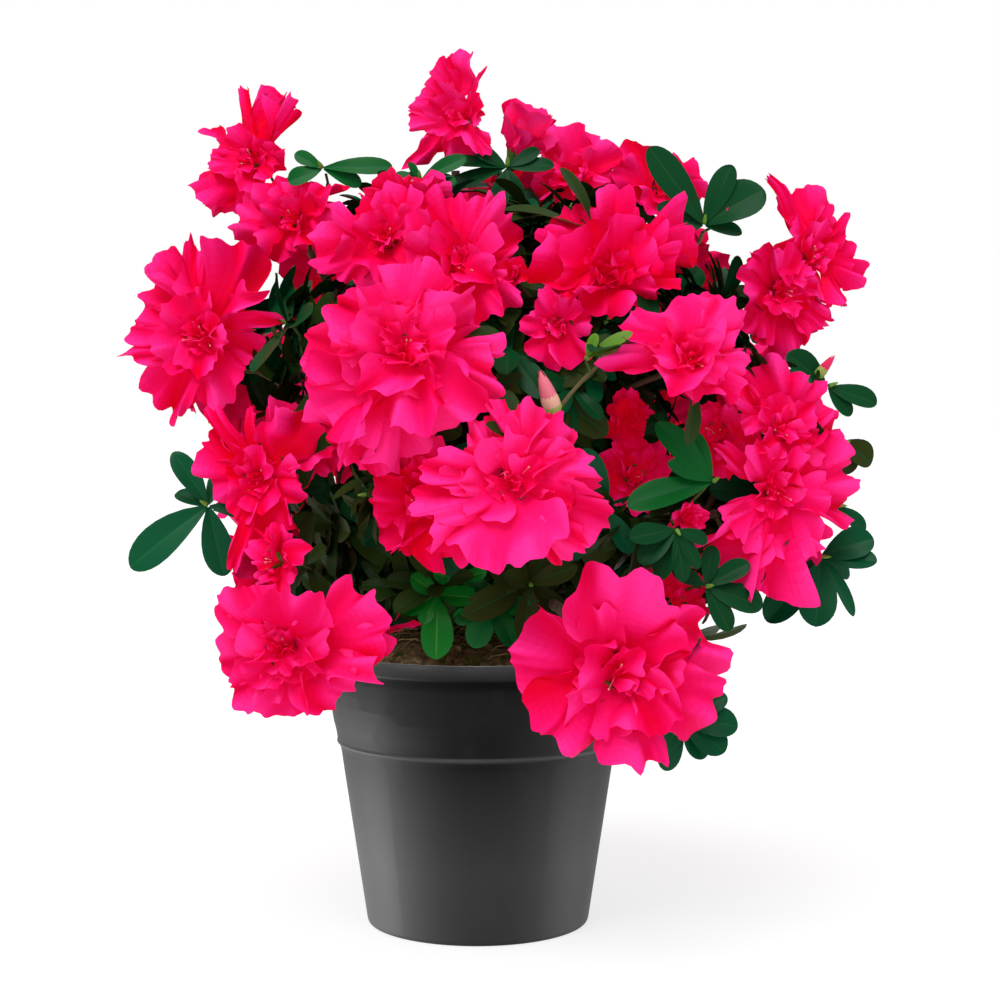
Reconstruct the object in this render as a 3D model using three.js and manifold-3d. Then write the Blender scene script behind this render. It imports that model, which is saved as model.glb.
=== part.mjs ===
// A double-flowered azalea shrub in a plain round nursery pot.
// Millimetres, +Z up. The origin is the centre of the pot's flat underside, and -Y is the front of the shrub.
// The crown is a shell of foliage and blossom masses, carried by arching boughs that fork from one short stem.
import * as THREE from "three";
import { mergeVertices } from "three/addons/utils/BufferGeometryUtils.js";
import Module from "manifold-3d";

const wasm = await Module();
wasm.setup();

// Driving dimensions.
const GAP = 0.3; // clearance between pieces that touch
const ROUND_SEGMENTS = 30;
const POT = {
  height: 110,
  rimRadius: 61.5,
  rimHeight: 5.8,
  rimStep: 0.8,
  collarFootRadius: 58.6,
  collarFootHeight: 82,
  bodyTopRadius: 56.1,
  bodyTopHeight: 74,
  footRadius: 44.6,
  footFillet: 2.6,
  wall: 1.5,
  lipWidth: 2.6,
  lipInnerHeight: 3,
};
const SOIL = { edgeBelowRim: 4.5, crownAboveRim: 3, flatRadius: 13 };
const STEM = { height: 32, lean: 4, flareRadius: 9.5, footRadius: 6.5, tipRadius: 4.4 };
const CROWN = { axisX: 8, heartHeight: 175 };
const BOUGH = { rootRadius: 3.1, tipRadius: 1.7, sides: 6, rings: 5, forkDepth: 5 };
const LUMPS = { count: 6, height: 0.16, sharpness: 7 };
const SMALL_MASS = 58; // a mass up to this width has coarser facets

const COLOURS = {
  pot: { color: 0x2b2c2e, roughness: 0.45, metalness: 0 },
  soil: { color: 0x3a2a1c, roughness: 1, metalness: 0 },
  bark: { color: 0x5b4330, roughness: 0.9, metalness: 0 },
  leaf: { color: 0x1d5230, roughness: 0.5, metalness: 0 },
  blossom: { color: 0xf01860, roughness: 0.6, metalness: 0 },
};

// The masses of the crown: name, what it mostly shows, bearing from the front in degrees (+ is towards +X),
// height above the floor, reach from the crown's axis, width across and depth through, in millimetres.
const MASSES = [
  ["low_front_right", "blossom", 22, 118, 112, 80, 54],
  ["low_front_left", "blossom", -41, 125, 109, 70, 52],
  ["front_middle", "blossom", 2, 177, 116, 73, 52],
  ["front_upper_left", "blossom", -19, 221, 107, 79, 54],
  ["front_upper_right", "blossom", 35, 228, 107, 54, 48],
  ["front_middle_left", "blossom", -25, 172, 92, 56, 50],
  ["front_top_left", "blossom", -23, 266, 72, 70, 52],
  ["front_top_right", "blossom", 28, 258, 80, 72, 54],
  ["left_front", "blossom", -57, 184, 102, 58, 52],
  ["left_side", "blossom", -75, 239, 121, 73, 54],
  ["left_top", "blossom", -81, 282, 79, 50, 46],
  ["left_top_tip", "blossom", -92, 310, 100, 50, 44],
  ["crown_top", "blossom", -80, 325, 19, 47, 46],
  ["crown_top_right", "blossom", 90, 312, 16, 42, 40],
  ["right_top", "blossom", 104, 293, 48, 66, 48],
  ["right_side_upper", "blossom", 85, 264, 117, 65, 60],
  ["right_front_upper", "blossom", 64, 204, 117, 58, 50],
  ["right_front_low", "blossom", 63, 168, 119, 66, 52],
  ["top_back", "blossom", 172, 288, 44, 66, 50],
  ["front_tuft", "leaf", -20, 132, 53, 48, 40],
  ["front_heart", "leaf", 40, 174, 72, 64, 48],
  ["front_upper_heart", "leaf", 16, 226, 64, 66, 52],
  ["left_heart", "leaf", -62, 228, 80, 56, 46],
  ["top_left_heart", "leaf", -72, 270, 42, 56, 46],
  ["top_right_heart", "leaf", 52, 266, 34, 60, 50],
  ["right_heart", "leaf", 77, 238, 74, 64, 50],
  ["low_right_heart", "leaf", 51, 141, 95, 52, 40],
  ["left_rosette", "leaf", -76, 164, 118, 52, 38],
  ["low_right_rosette", "leaf", 47, 91, 101, 42, 38],
  ["right_rosette", "leaf", 78, 144, 131, 48, 36],
  ["right_edge_rosette", "leaf", 79, 207, 137, 36, 34],
  ["right_top_rosette", "leaf", 58, 281, 86, 52, 42],
];

// The rings of masses round the sides and back: name, bearings from and to, count, height, reach, width, depth.
const BACK_RINGS = [
  ["back_low", 114, 250, 4, 143, 99, 84, 56],
  ["back_middle", 106, 256, 5, 205, 109, 84, 56],
  ["back_upper", 128, 238, 3, 262, 82, 82, 56],
];

// The boughs: name, the mass that each one runs to, and how far its arch rises above a straight line.
const BOUGHS = [
  ["front_right", "low_front_right", 10],
  ["front_left", "low_front_left", 10],
  ["front", "front_upper_left", 6],
  ["front_low", "front_tuft", 4],
  ["left", "left_side", 12],
  ["left_top", "left_top_tip", 8],
  ["top", "crown_top", 0],
  ["right_top", "right_side_upper", 10],
  ["right", "right_front_low", 12],
  ["back_right", "back_low_2", 12],
  ["back_left", "back_middle_4", 12],
  ["back", "back_upper_2", 6],
];

// A repeatable source of numbers from 0 to 1.
function seeded(seed) {
  let state = seed * 2654435761 + 97;
  return () => {
    state = (Math.imul(state ^ (state >>> 15), 2246822519) + 374761393) >>> 0;
    return state / 4294967296;
  };
}

// A three.js geometry as an exact closed solid, for cutting.
function solidOf(geometry) {
  const bare = geometry.clone();
  bare.deleteAttribute("normal");
  bare.deleteAttribute("uv");
  const merged = mergeVertices(bare, 1e-4);
  return new wasm.Manifold(
    new wasm.Mesh({
      numProp: 3,
      vertProperties: new Float32Array(merged.attributes.position.array),
      triVerts: new Uint32Array(merged.index.array),
    }),
  );
}

// A cut solid as a three.js geometry again.
function geometryOf(solid) {
  const mesh = solid.getMesh();
  const geometry = new THREE.BufferGeometry();
  geometry.setAttribute("position", new THREE.BufferAttribute(mesh.vertProperties, 3));
  geometry.setIndex(new THREE.BufferAttribute(mesh.triVerts, 1));
  return geometry;
}

// What is left of a solid once its neighbours are taken away, as one body: the largest piece.
function without(solid, neighbours) {
  const cut = neighbours.reduce((left, neighbour) => left.subtract(neighbour), solid);
  return cut.decompose().reduce((best, body) => (body.volume() > best.volume() ? body : best));
}

// The piece of a cut limb that still holds its root.
function fromRoot(solid, neighbours, root) {
  const cut = neighbours.reduce((left, neighbour) => left.subtract(neighbour), solid);
  const distance = (body) => {
    const { min, max } = body.boundingBox();
    return new THREE.Box3(new THREE.Vector3(...min), new THREE.Vector3(...max)).distanceToPoint(root);
  };
  return cut.decompose().reduce((best, body) => (distance(body) < distance(best) ? body : best));
}

function lathe(outline) {
  const points = outline.map(([radius, height]) => new THREE.Vector2(radius, height));
  return new THREE.LatheGeometry(points, ROUND_SEGMENTS).rotateX(Math.PI / 2);
}

// The pot: a tapering body, a wider collar above a soft ledge, and a flat rim band.
function potShape() {
  const p = POT;
  const rimFoot = p.height - p.rimHeight;
  const lipInner = p.rimRadius - p.lipWidth;
  return lathe([
    [0, 0],
    [p.footRadius - p.footFillet, 0],
    [p.footRadius - 0.25 * p.footFillet, 0.28 * p.footFillet],
    [p.footRadius + 0.1, p.footFillet],
    [p.bodyTopRadius, p.bodyTopHeight],
    [p.collarFootRadius - 0.4, p.collarFootHeight - 3],
    [p.collarFootRadius, p.collarFootHeight],
    [p.rimRadius - p.rimStep, rimFoot - 0.3],
    [p.rimRadius, rimFoot],
    [p.rimRadius, p.height - 1],
    [p.rimRadius - 1, p.height],
    [lipInner, p.height - 0.4],
    [lipInner, p.height - p.lipInnerHeight],
    [innerRadius(p.height - p.lipInnerHeight), p.height - p.lipInnerHeight - 1],
    [p.bodyTopRadius - p.wall, p.bodyTopHeight],
    [p.footRadius - p.wall, p.wall + p.footFillet],
    [0, p.wall],
  ]);
}

// The inside radius of the pot's wall at a height above its ledge.
function innerRadius(height) {
  const slope = (POT.rimRadius - POT.rimStep - POT.bodyTopRadius) / (POT.height - POT.rimHeight - POT.bodyTopHeight);
  return POT.bodyTopRadius + slope * (height - POT.bodyTopHeight) - POT.wall;
}

// The root ball fills the pot, and its mossy top rises a little in the middle.
function rootBallShape() {
  const edge = POT.height - SOIL.edgeBelowRim;
  const top = POT.height + SOIL.crownAboveRim;
  const side = innerRadius(edge) - GAP;
  return lathe([
    [0, POT.wall + GAP],
    [POT.footRadius - POT.wall - GAP - 1, POT.wall + POT.footFillet + GAP],
    [POT.bodyTopRadius - POT.wall - GAP, POT.bodyTopHeight],
    [side, edge],
    [0.62 * side, edge + 0.7 * (top - edge)],
    [SOIL.flatRadius, top],
    [0, top],
  ]);
}

// A tapering limb: a cylinder bent along a curve, with radii(t) from its root (0) to its tip (1).
function limb(curve, radii) {
  const geometry = new THREE.CylinderGeometry(1, 1, 1, BOUGH.sides, BOUGH.rings);
  const frames = curve.computeFrenetFrames(BOUGH.rings, false);
  const place = geometry.attributes.position;
  for (let i = 0; i < place.count; i++) {
    const t = place.getY(i) + 0.5;
    const ring = Math.round(t * BOUGH.rings);
    const radius = radii(t);
    const point = curve
      .getPointAt(t)
      .addScaledVector(frames.binormals[ring], place.getX(i) * radius)
      .addScaledVector(frames.normals[ring], place.getZ(i) * radius);
    place.setXYZ(i, point.x, point.y, point.z);
  }
  return geometry;
}

const stemFoot = new THREE.Vector3(0, 0, POT.height + SOIL.crownAboveRim + GAP);
const stemTip = new THREE.Vector3(STEM.lean, 0, stemFoot.z + STEM.height);

// The stem, whose root flare narrows into a slightly leaning trunk. Its foot is cut flat.
function stemShape(extra = 0) {
  const middle = new THREE.Vector3(0.2 * STEM.lean, 0, stemFoot.z + 0.5 * STEM.height);
  const path = new THREE.QuadraticBezierCurve3(stemFoot, middle, stemTip);
  const flare = (t) => (STEM.flareRadius - STEM.footRadius) * Math.exp(-9 * t);
  const taper = (t) => STEM.footRadius + (STEM.tipRadius - STEM.footRadius) * t;
  const geometry = limb(path, (t) => flare(t) + taper(t) + extra);
  const place = geometry.attributes.position;
  for (let i = 0; i < place.count; i++) place.setZ(i, Math.max(place.getZ(i), stemFoot.z));
  return geometry;
}

function pointAt(bearing, height, reach) {
  const angle = THREE.MathUtils.degToRad(bearing);
  return new THREE.Vector3(CROWN.axisX + reach * Math.sin(angle), -reach * Math.cos(angle), height);
}

// A mass: an ellipsoid with lumps of its own, whose depth lies along the way it faces out of the crown.
function massShape(mass, seed, extra = 0) {
  const random = seeded(seed + 1);
  const lumps = Array.from({ length: LUMPS.count }, () => ({
    way: new THREE.Vector3(random() - 0.5, random() - 0.5, random() - 0.5).normalize(),
    height: LUMPS.height * (0.5 + random()),
  }));
  const geometry = bareSphere(mass.width > SMALL_MASS ? 3 : 2);
  const heart = new THREE.Vector3(CROWN.axisX, 0, CROWN.heartHeight);
  const facing = mass.centre.clone().sub(heart).normalize();
  const turn = new THREE.Quaternion().setFromUnitVectors(new THREE.Vector3(0, 0, 1), facing);
  const place = geometry.attributes.position;
  for (let i = 0; i < place.count; i++) {
    const way = new THREE.Vector3().fromBufferAttribute(place, i).normalize();
    const swell = lumps.reduce(
      (sum, lump) => sum + lump.height * Math.exp(LUMPS.sharpness * (way.dot(lump.way) - 1)),
      1 - LUMPS.height / 2,
    );
    const point = way
      .clone()
      .multiply(new THREE.Vector3(mass.width / 2, mass.width / 2, mass.depth / 2))
      .multiplyScalar(swell)
      .addScaledVector(way, extra)
      .applyQuaternion(turn)
      .add(mass.centre);
    place.setXYZ(i, point.x, point.y, point.z);
  }
  return geometry;
}

// A ball of radius 1 whose faces share their corners.
function bareSphere(detail) {
  const ball = new THREE.OctahedronGeometry(1, detail);
  ball.deleteAttribute("normal");
  ball.deleteAttribute("uv");
  return mergeVertices(ball, 1e-4);
}

// Every mass with its centre: the named ones, then the rings.
function allMasses() {
  const named = MASSES.map(([name, shows, bearing, height, reach, width, depth]) => ({
    name,
    shows,
    width,
    depth,
    centre: pointAt(bearing, height, reach),
  }));
  const ringed = BACK_RINGS.flatMap(([ring, from, to, count, height, reach, width, depth]) =>
    Array.from({ length: count }, (_, i) => ({
      name: `${ring}_${i + 1}`,
      shows: "blossom",
      width,
      depth,
      centre: pointAt(from + ((to - from) * i) / (count - 1), height + (i % 2 ? 5 : -5), reach),
    })),
  );
  return [...named, ...ringed];
}

// A bough arches from the fork up and out to the middle of its mass.
function boughShape(mass, arch, extra = 0) {
  const root = stemTip.clone().add(new THREE.Vector3(0, 0, -BOUGH.forkDepth));
  const outward = mass.centre.clone().sub(root);
  const bend = root
    .clone()
    .addScaledVector(outward, 0.45)
    .add(new THREE.Vector3(0, 0, arch));
  const path = new THREE.QuadraticBezierCurve3(root, bend, mass.centre);
  const taper = (t) => BOUGH.rootRadius + (BOUGH.tipRadius - BOUGH.rootRadius) * t;
  return limb(path, (t) => taper(t) + extra);
}

const azalea = new THREE.Group();

function place(name, geometry, look) {
  const mesh = new THREE.Mesh(geometry, new THREE.MeshStandardMaterial(COLOURS[look]));
  mesh.name = name;
  azalea.add(mesh);
}

place("pot", potShape(), "pot");
place("root_ball", rootBallShape(), "soil");
place("stem", stemShape(), "bark");

const masses = allMasses();
const grownMasses = masses.map((mass, seed) => solidOf(massShape(mass, seed, GAP)));
masses.forEach((mass, seed) => {
  const whole = solidOf(massShape(mass, seed));
  place(`mass_${mass.name}`, geometryOf(without(whole, grownMasses.slice(0, seed))), mass.shows);
});

const grownLimbs = [solidOf(stemShape(GAP))];
for (const [name, target, arch] of BOUGHS) {
  const mass = masses.find((one) => one.name === target);
  const whole = solidOf(boughShape(mass, arch));
  const cut = fromRoot(whole, [...grownLimbs, ...grownMasses], stemTip);
  place(`bough_${name}`, geometryOf(cut), "bark");
  grownLimbs.push(solidOf(boughShape(mass, arch, GAP)));
}

export default azalea;
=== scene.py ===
"""A double-flowered azalea shrub in a plain nursery pot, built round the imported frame.

Lengths are in millimetres until mesh_piece() turns them into metres.
+Z is up, -Y is the front and +X is to the right seen from the front.
A bearing is in degrees round from the front, + towards +X, and an elevation is in degrees above level.
"""

import math

import bmesh
import bpy
import numpy as np
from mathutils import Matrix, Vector, noise


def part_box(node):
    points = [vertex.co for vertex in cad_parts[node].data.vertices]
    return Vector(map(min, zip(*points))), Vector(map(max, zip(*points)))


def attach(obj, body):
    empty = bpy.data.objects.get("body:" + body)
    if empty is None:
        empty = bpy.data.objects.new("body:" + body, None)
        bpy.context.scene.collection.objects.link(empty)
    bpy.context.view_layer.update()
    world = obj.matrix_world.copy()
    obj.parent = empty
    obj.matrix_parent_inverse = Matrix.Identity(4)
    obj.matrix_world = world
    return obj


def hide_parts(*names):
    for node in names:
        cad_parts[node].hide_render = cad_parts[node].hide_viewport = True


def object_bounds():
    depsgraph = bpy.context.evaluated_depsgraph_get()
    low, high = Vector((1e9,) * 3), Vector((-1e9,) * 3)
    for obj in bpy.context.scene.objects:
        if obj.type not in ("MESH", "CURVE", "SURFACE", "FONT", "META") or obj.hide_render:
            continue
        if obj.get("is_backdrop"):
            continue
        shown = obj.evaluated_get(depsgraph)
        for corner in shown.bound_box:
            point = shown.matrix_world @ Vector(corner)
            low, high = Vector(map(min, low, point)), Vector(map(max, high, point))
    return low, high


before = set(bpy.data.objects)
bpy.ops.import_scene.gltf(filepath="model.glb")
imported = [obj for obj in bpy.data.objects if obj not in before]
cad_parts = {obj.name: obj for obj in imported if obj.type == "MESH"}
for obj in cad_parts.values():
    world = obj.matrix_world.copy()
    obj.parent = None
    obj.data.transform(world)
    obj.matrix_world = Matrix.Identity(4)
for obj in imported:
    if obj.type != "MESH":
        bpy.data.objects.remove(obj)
cad_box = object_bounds()

MM = 0.001
SEED = 20

# ---------------------------------------------------------------- sizes

POT = {
    "height": 110.0,
    "rim_radius": 61.5,
    "rim_height": 5.8,
    "rim_step": 2.0,
    # Back from the rim's radius and down from its top, from the band's foot up.
    "rim_curve": [(0.0, 5.2), (0.05, 3.6), (0.25, 2.0), (0.7, 0.9), (1.5, 0.1), (2.0, 0.0)],
    # Radius and height up the body's top, out to the ledge's bead, and up the collar above it.
    "ledge": [
        (53.9, 62.0), (54.6, 67.0), (55.2, 70.8), (56.0, 72.6), (56.7, 73.2), (56.8, 73.8), (56.5, 74.5),
    ],
    "collar": [(57.1, 78.0), (58.1, 82.0), (58.8, 86.0), (59.3, 90.0), (59.6, 95.0), (59.7, 100.0)],
    "body_top_radius": 56.1,
    "body_top_height": 74.0,
    "foot_radius": 44.6,
    "foot_fillet": 1.5,
    "wall": 1.5,
    "lip_width": 3.0,
    "lip_inner_height": 3.0,
    # How far the lip's edge lies under the rim's top, and the step's corner under the rim's band.
    "lip_drop": 0.4,
    "step_drop": 1.2,
    "rounding": 0.45,
    "segments": 160,
    # Grey by height, painted light: painted shade under the ledge that fades out lower down, and painted highlights
    # along the ledge's bead and on the rim.
    "tones": [
        (28.0, 0.013), (72.4, 0.0015), (73.2, 0.018), (74.0, 0.018), (74.8, 0.001), (104.0, 0.001),
        (109.0, 0.012),
    ],
}
PEAT = {
    "edge_radius": 57.2,
    # The mound's height by the distance from the middle, and how high the lumps on it stand.
    "mound": [(0.0, 118.0), (19.0, 118.0), (35.464, 114.0), (57.2, 105.3)],
    "lumps": 1.3,
    "rings": 46,
    "sectors": 160,
    "side_top": 104.0,
    "gap": 0.4,  # between the peat and the pot's wall
}
LITTER = {"crumbs": 420, "fibres": 170, "moss_tufts": 60}
SHOOTS = 9  # in a tuft of moss
# The boughs leave the stem fork_depth under its top, and their first joints lie inside it.
LIMB = {"root_radius": 3.1, "tip_radius": 1.7, "sides": 16, "step": 1.5, "fork_depth": 4, "inside_stem": 3}
STEM = {"flare_radius": 9.5, "foot_radius": 6.5, "tip_radius": 4.4, "sides": 32, "step": 0.9}
TWIG = {"tip_radius": 0.6, "growth": 0.42, "largest": 1.7, "sides": 6, "step": 5.0}
PEDICEL = {"length": 9.0, "radius": 0.7, "sides": 6, "step": 2.5}

# ---------------------------------------------------------------- vectors


def unit(vector):
    vector = np.asarray(vector, float)
    return vector / np.linalg.norm(vector)


def direction(bearing, elevation):
    b, e = math.radians(bearing), math.radians(elevation)
    return np.array([math.sin(b) * math.cos(e), -math.cos(b) * math.cos(e), math.sin(e)])


def basis(axis, roll=0.0):
    """Columns x, y and z of a frame whose z lies along axis, turned about it by roll."""
    z = unit(axis)
    aside = np.array([0.0, 0.0, 1.0]) if abs(z[2]) < 0.9 else np.array([0.0, 1.0, 0.0])
    x = unit(np.cross(aside, z))
    y = np.cross(z, x)
    c, s = math.cos(roll), math.sin(roll)
    return np.column_stack([c * x + s * y, c * y - s * x, z])


def smooth(low, high, x):
    """0 below low, 1 above high, and an even step between them."""
    t = np.clip((x - low) / (high - low), 0, 1)
    return t * t * (3 - 2 * t)


def turned(grid, angle):
    """Points turned about z."""
    c, s = math.cos(angle), math.sin(angle)
    x, y = grid[..., 0], grid[..., 1]
    return np.stack([x * c - y * s, x * s + y * c, grid[..., 2]], axis=-1)


SWIRL = {"waves": 3, "rate": 2.2, "spread": 1.7}


def swirl(points, random, size, amount):
    """A smooth random shift of points, in waves about as long as size."""
    shift = np.zeros_like(points)
    for _ in range(SWIRL["waves"]):
        way = unit(random.normal(size=3))
        wave = random.normal(size=3) * SWIRL["rate"] / size
        shift += way * np.sin(points @ wave + random.uniform(0, 2 * math.pi))[..., None]
    return points + shift * amount / SWIRL["spread"]


def seeded(*key):
    """A random generator of its own for each thing that grows."""
    return np.random.default_rng([SEED, *key])


# ---------------------------------------------------------------- meshes


class Sheets:
    """Gathers grids of points as quads, each quad with the number of its material."""

    def __init__(self):
        self.points, self.faces, self.tones, self.count = [], [], [], 0

    def add(self, grid, tone, closed=False):
        rows, columns = grid.shape[:2]
        across = columns if closed else columns - 1
        i = np.arange(rows - 1)[:, None] * columns
        j = np.arange(across)[None, :]
        k = (j + 1) % columns
        quads = np.stack([i + j, i + k, i + columns + k, i + columns + j], axis=-1)
        self.points.append(grid.reshape(-1, 3))
        self.faces.append(quads.reshape(-1, 4) + self.count)
        self.tones.append(np.broadcast_to(tone, (rows - 1, across)).reshape(-1))
        self.count += rows * columns


def mesh_piece(name, sheets, materials, nodes=(), weld=0.0):
    """One joined piece that rides on the plant's body and stands for the CAD nodes named.

    weld is the gap over which points are joined, where the grids meet.
    """
    points = np.concatenate(sheets.points) * MM
    faces = np.concatenate(sheets.faces)
    mesh = bpy.data.meshes.new(name)
    mesh.from_pydata(points.tolist(), [], faces.tolist())
    for material in materials:
        mesh.materials.append(material)
    mesh.polygons.foreach_set("material_index", np.concatenate(sheets.tones).astype(np.int32))
    mesh.polygons.foreach_set("use_smooth", np.ones(len(faces), bool))
    if weld:
        work = bmesh.new()
        work.from_mesh(mesh)
        bmesh.ops.remove_doubles(work, verts=work.verts, dist=weld * MM)
        work.to_mesh(mesh)
        work.free()
    mesh.update()
    piece = bpy.data.objects.new(name, mesh)
    bpy.context.scene.collection.objects.link(piece)
    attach(piece, "root")
    if nodes:
        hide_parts(*nodes)


def tube(sheets, path, radii, sides, tone, relief=None):
    """A round tube along a path. relief(points, angles) gives a factor for each point's radius."""
    path = np.asarray(path, float)
    along = np.gradient(path, axis=0)
    along /= np.linalg.norm(along, axis=1)[:, None]
    side = basis(along[0])[:, 0]
    sides_x = []
    for way in along:
        side = unit(side - way * (side @ way))
        sides_x.append(side)
    sides_x = np.array(sides_x)
    sides_y = np.cross(along, sides_x)
    angle = np.linspace(0, 2 * math.pi, sides, endpoint=False)
    ring = np.cos(angle)[None, :, None] * sides_x[:, None] + np.sin(angle)[None, :, None] * sides_y[:, None]
    radius = np.broadcast_to(np.asarray(radii, float), len(path))[:, None, None]
    grid = path[:, None] + ring * radius
    if relief is not None:
        grid = path[:, None] + ring * radius * relief(grid)[..., None]
    sheets.add(grid, tone, closed=True)


def curve(start, end, start_way, end_way, step):
    """Points along a Hermite curve that leaves and arrives along the ways, about a step apart."""
    reach = np.linalg.norm(end - start)
    count = max(3, int(round(reach / step)) + 1)
    t = np.linspace(0, 1, count)[:, None]
    between, leaving, arriving = t * t * (3 - 2 * t), t * (1 - t) ** 2, t * t * (t - 1)
    return start + (end - start) * between + reach * (start_way * leaving + end_way * arriving)


# ---------------------------------------------------------------- materials


def plain(name, color, roughness, specular, glow=(1, 1, 1), strength=0.0):
    """One even colour, which may glow. A piece carries several, dealt out by zone or by spray."""
    material = bpy.data.materials.new(name)
    material.use_nodes = True
    values = {
        "Base Color": (*color, 1),
        "Roughness": roughness,
        "Specular IOR Level": specular,
        "Emission Color": (*glow, 1),
        "Emission Strength": strength,
    }
    for socket, value in values.items():
        material.node_tree.nodes["Principled BSDF"].inputs[socket].default_value = value
    return material


class Recipe:
    """A node material put together with short calls. In a socket's name, _ stands for a space."""

    def __init__(self, name):
        self.material = bpy.data.materials.new(name)
        self.material.use_nodes = True
        self.tree = self.material.node_tree
        self.place = self.node("TexCoord", "Object")

    def put(self, socket, value):
        if isinstance(value, bpy.types.NodeSocket):
            self.tree.links.new(value, socket)
        elif value is not None:
            socket.default_value = value

    def node(self, kind, output, **inputs):
        """A new node's output, with the node's inputs linked or set."""
        node = self.tree.nodes.new(f"ShaderNode{kind}")
        for name, value in inputs.items():
            self.put(node.inputs[name.replace("_", " ")], value)
        return node.outputs[output]

    def stretched(self, scale):
        return self.node("Mapping", "Vector", Vector=self.place, Scale=scale)

    def noise(self, scale, detail=4.0, roughness=0.55, vector=None):
        place = vector or self.place
        return self.node("TexNoise", "Fac", Vector=place, Scale=scale, Detail=detail, Roughness=roughness)

    def ramp(self, factor, *stops):
        node = self.tree.nodes.new("ShaderNodeValToRGB")
        self.put(node.inputs["Fac"], factor)
        band = node.color_ramp
        for position, _ in stops[1:-1]:
            band.elements.new(position)
        for element, (position, color) in zip(band.elements, stops):
            element.position = position
            element.color = (*color, 1)
        return node.outputs["Color"]

    def mix(self, factor, first, second):
        node = self.tree.nodes.new("ShaderNodeMix")
        node.data_type = "RGBA"
        by_number = {0: factor, 6: first, 7: second}  # a Mix node's sockets share their names
        for number, value in by_number.items():
            self.put(node.inputs[number], value)
        return node.outputs[2]

    def range(self, value, low, high, start=0.0, stop=1.0):
        """The value's stretch from start to stop, laid over low to high."""
        ends = {"From_Min": start, "From_Max": stop, "To_Min": low, "To_Max": high}
        return self.node("MapRange", "Result", Value=value, **ends)

    def bump(self, height, strength, distance, below=None):
        depth = {"Strength": strength, "Distance": distance}
        return self.node("Bump", "Normal", Height=height, Normal=below, **depth)

    def finish(self, **inputs):
        for name, value in inputs.items():
            self.put(self.tree.nodes["Principled BSDF"].inputs[name.replace("_", " ")], value)
        return self.material


def pot_plastic():
    """Satin black moulded plastic with faint scuffs and a fine moulded grain, its grey painted by height: painted
    shade under the ledge and painted highlights on the ledge's bead and the rim.
    """
    r = Recipe("pot_plastic")
    scuffs = r.noise(38, 6, 0.62, r.stretched((1, 1, 0.35)))
    height = r.range(r.node("SeparateXYZ", "Z", Vector=r.place), 0, 1, 0, POT["height"] * MM)
    # Painted light by height: painted shade under the ledge, painted highlights on the ledge's bead and the rim.
    painted_light_by_height = r.ramp(height, *((z / POT["height"], (grey, grey, 1.03 * grey)) for z, grey in POT["tones"]))
    # Near-black blotches by noise, laid over the painted light and shade by height.
    blotched_painted_light = r.mix(r.range(r.noise(9, 5), 0, 0.3, 0.35, 0.75), painted_light_by_height, (0.004, 0.004, 0.0042, 1))
    color = r.mix(r.range(scuffs, 0, 0.15, 0.55, 0.8), blotched_painted_light, (0.030, 0.031, 0.033, 1))
    grain = r.bump(r.noise(2600, 2), 0.10, 0.0002)
    waves = r.bump(r.noise(14, 2), 0.18, 0.0012, grain)
    rough = r.range(scuffs, 0.50, 0.60, 0.3, 0.7)
    return r.finish(Base_Color=color, Roughness=rough, Normal=waves, Specular_IOR_Level=0.075)


def peat_soil():
    """Dark moist peat with olive moss and paler specks."""
    r = Recipe("peat_soil")
    grains = r.noise(260, 8, 0.7)
    patches = r.noise(42, 4)
    earth = r.ramp(
        grains,
        (0.30, (0.060, 0.040, 0.018)),
        (0.46, (0.240, 0.170, 0.070)),
        (0.58, (0.410, 0.300, 0.135)),
        (0.72, (0.62, 0.50, 0.29)),
    )
    moss = r.ramp(grains, (0.35, (0.080, 0.078, 0.014)), (0.65, (0.320, 0.310, 0.065)))
    color = r.mix(r.range(patches, 0, 1, 0.50, 0.62), earth, moss)
    lumps = r.bump(r.node("TexVoronoi", "Distance", Vector=r.place, Scale=420), 0.6, 0.0012)
    rough = r.bump(grains, 0.8, 0.0010, lumps)
    return r.finish(Base_Color=color, Roughness=r.range(grains, 0.75, 1.0), Normal=rough)


def bark_skin():
    """Thin grey-brown bark with cracks along the limb and paler flakes."""
    r = Recipe("bark_skin")
    long_grain = r.noise(420, 7, 0.65, r.stretched((1, 1, 0.22)))
    patches = r.noise(90, 4)
    wood = r.ramp(
        long_grain,
        (0.32, (0.030, 0.017, 0.010)),
        (0.50, (0.105, 0.065, 0.040)),
        (0.66, (0.22, 0.155, 0.105)),
    )
    color = r.mix(r.range(patches, 0, 0.75, 0.5, 0.66), wood, (0.17, 0.15, 0.115, 1))
    cracks = r.bump(long_grain, 0.7, 0.0008)
    return r.finish(Base_Color=color, Roughness=r.range(long_grain, 0.95, 0.7), Normal=cracks)


# The petals' colours run from the crimson throat to the pink rim; the crimson end also serves as painted shade in
# the throat and in the folds' hollows.
PETAL_TONES = 20
PETAL_DEEP = np.array([0.66, 0.0, 0.011])
PETAL_RIM = np.array([0.93, 0.027, 0.265])
PETAL_RISE = np.array([1.4, 3.0, 1.4])  # how late each colour rises from the throat to the rim
PETAL_SHEEN = {"roughness": 0.5, "specular": 0.02}
PETAL_PAINTED_GLOW = {"glow": (1.0, 0.0, 0.04), "strength": 0.12}  # a painted glow: the petals emit a faint red light of their own, standing in for the light that a thin petal lets through


def petal_materials():
    shares = np.linspace(0, 1, PETAL_TONES)
    colors = [PETAL_DEEP + (PETAL_RIM - PETAL_DEEP) * share**PETAL_RISE for share in shares]
    return [plain(f"petal_{i}", color, **PETAL_SHEEN, **PETAL_PAINTED_GLOW) for i, color in enumerate(colors)]


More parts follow.
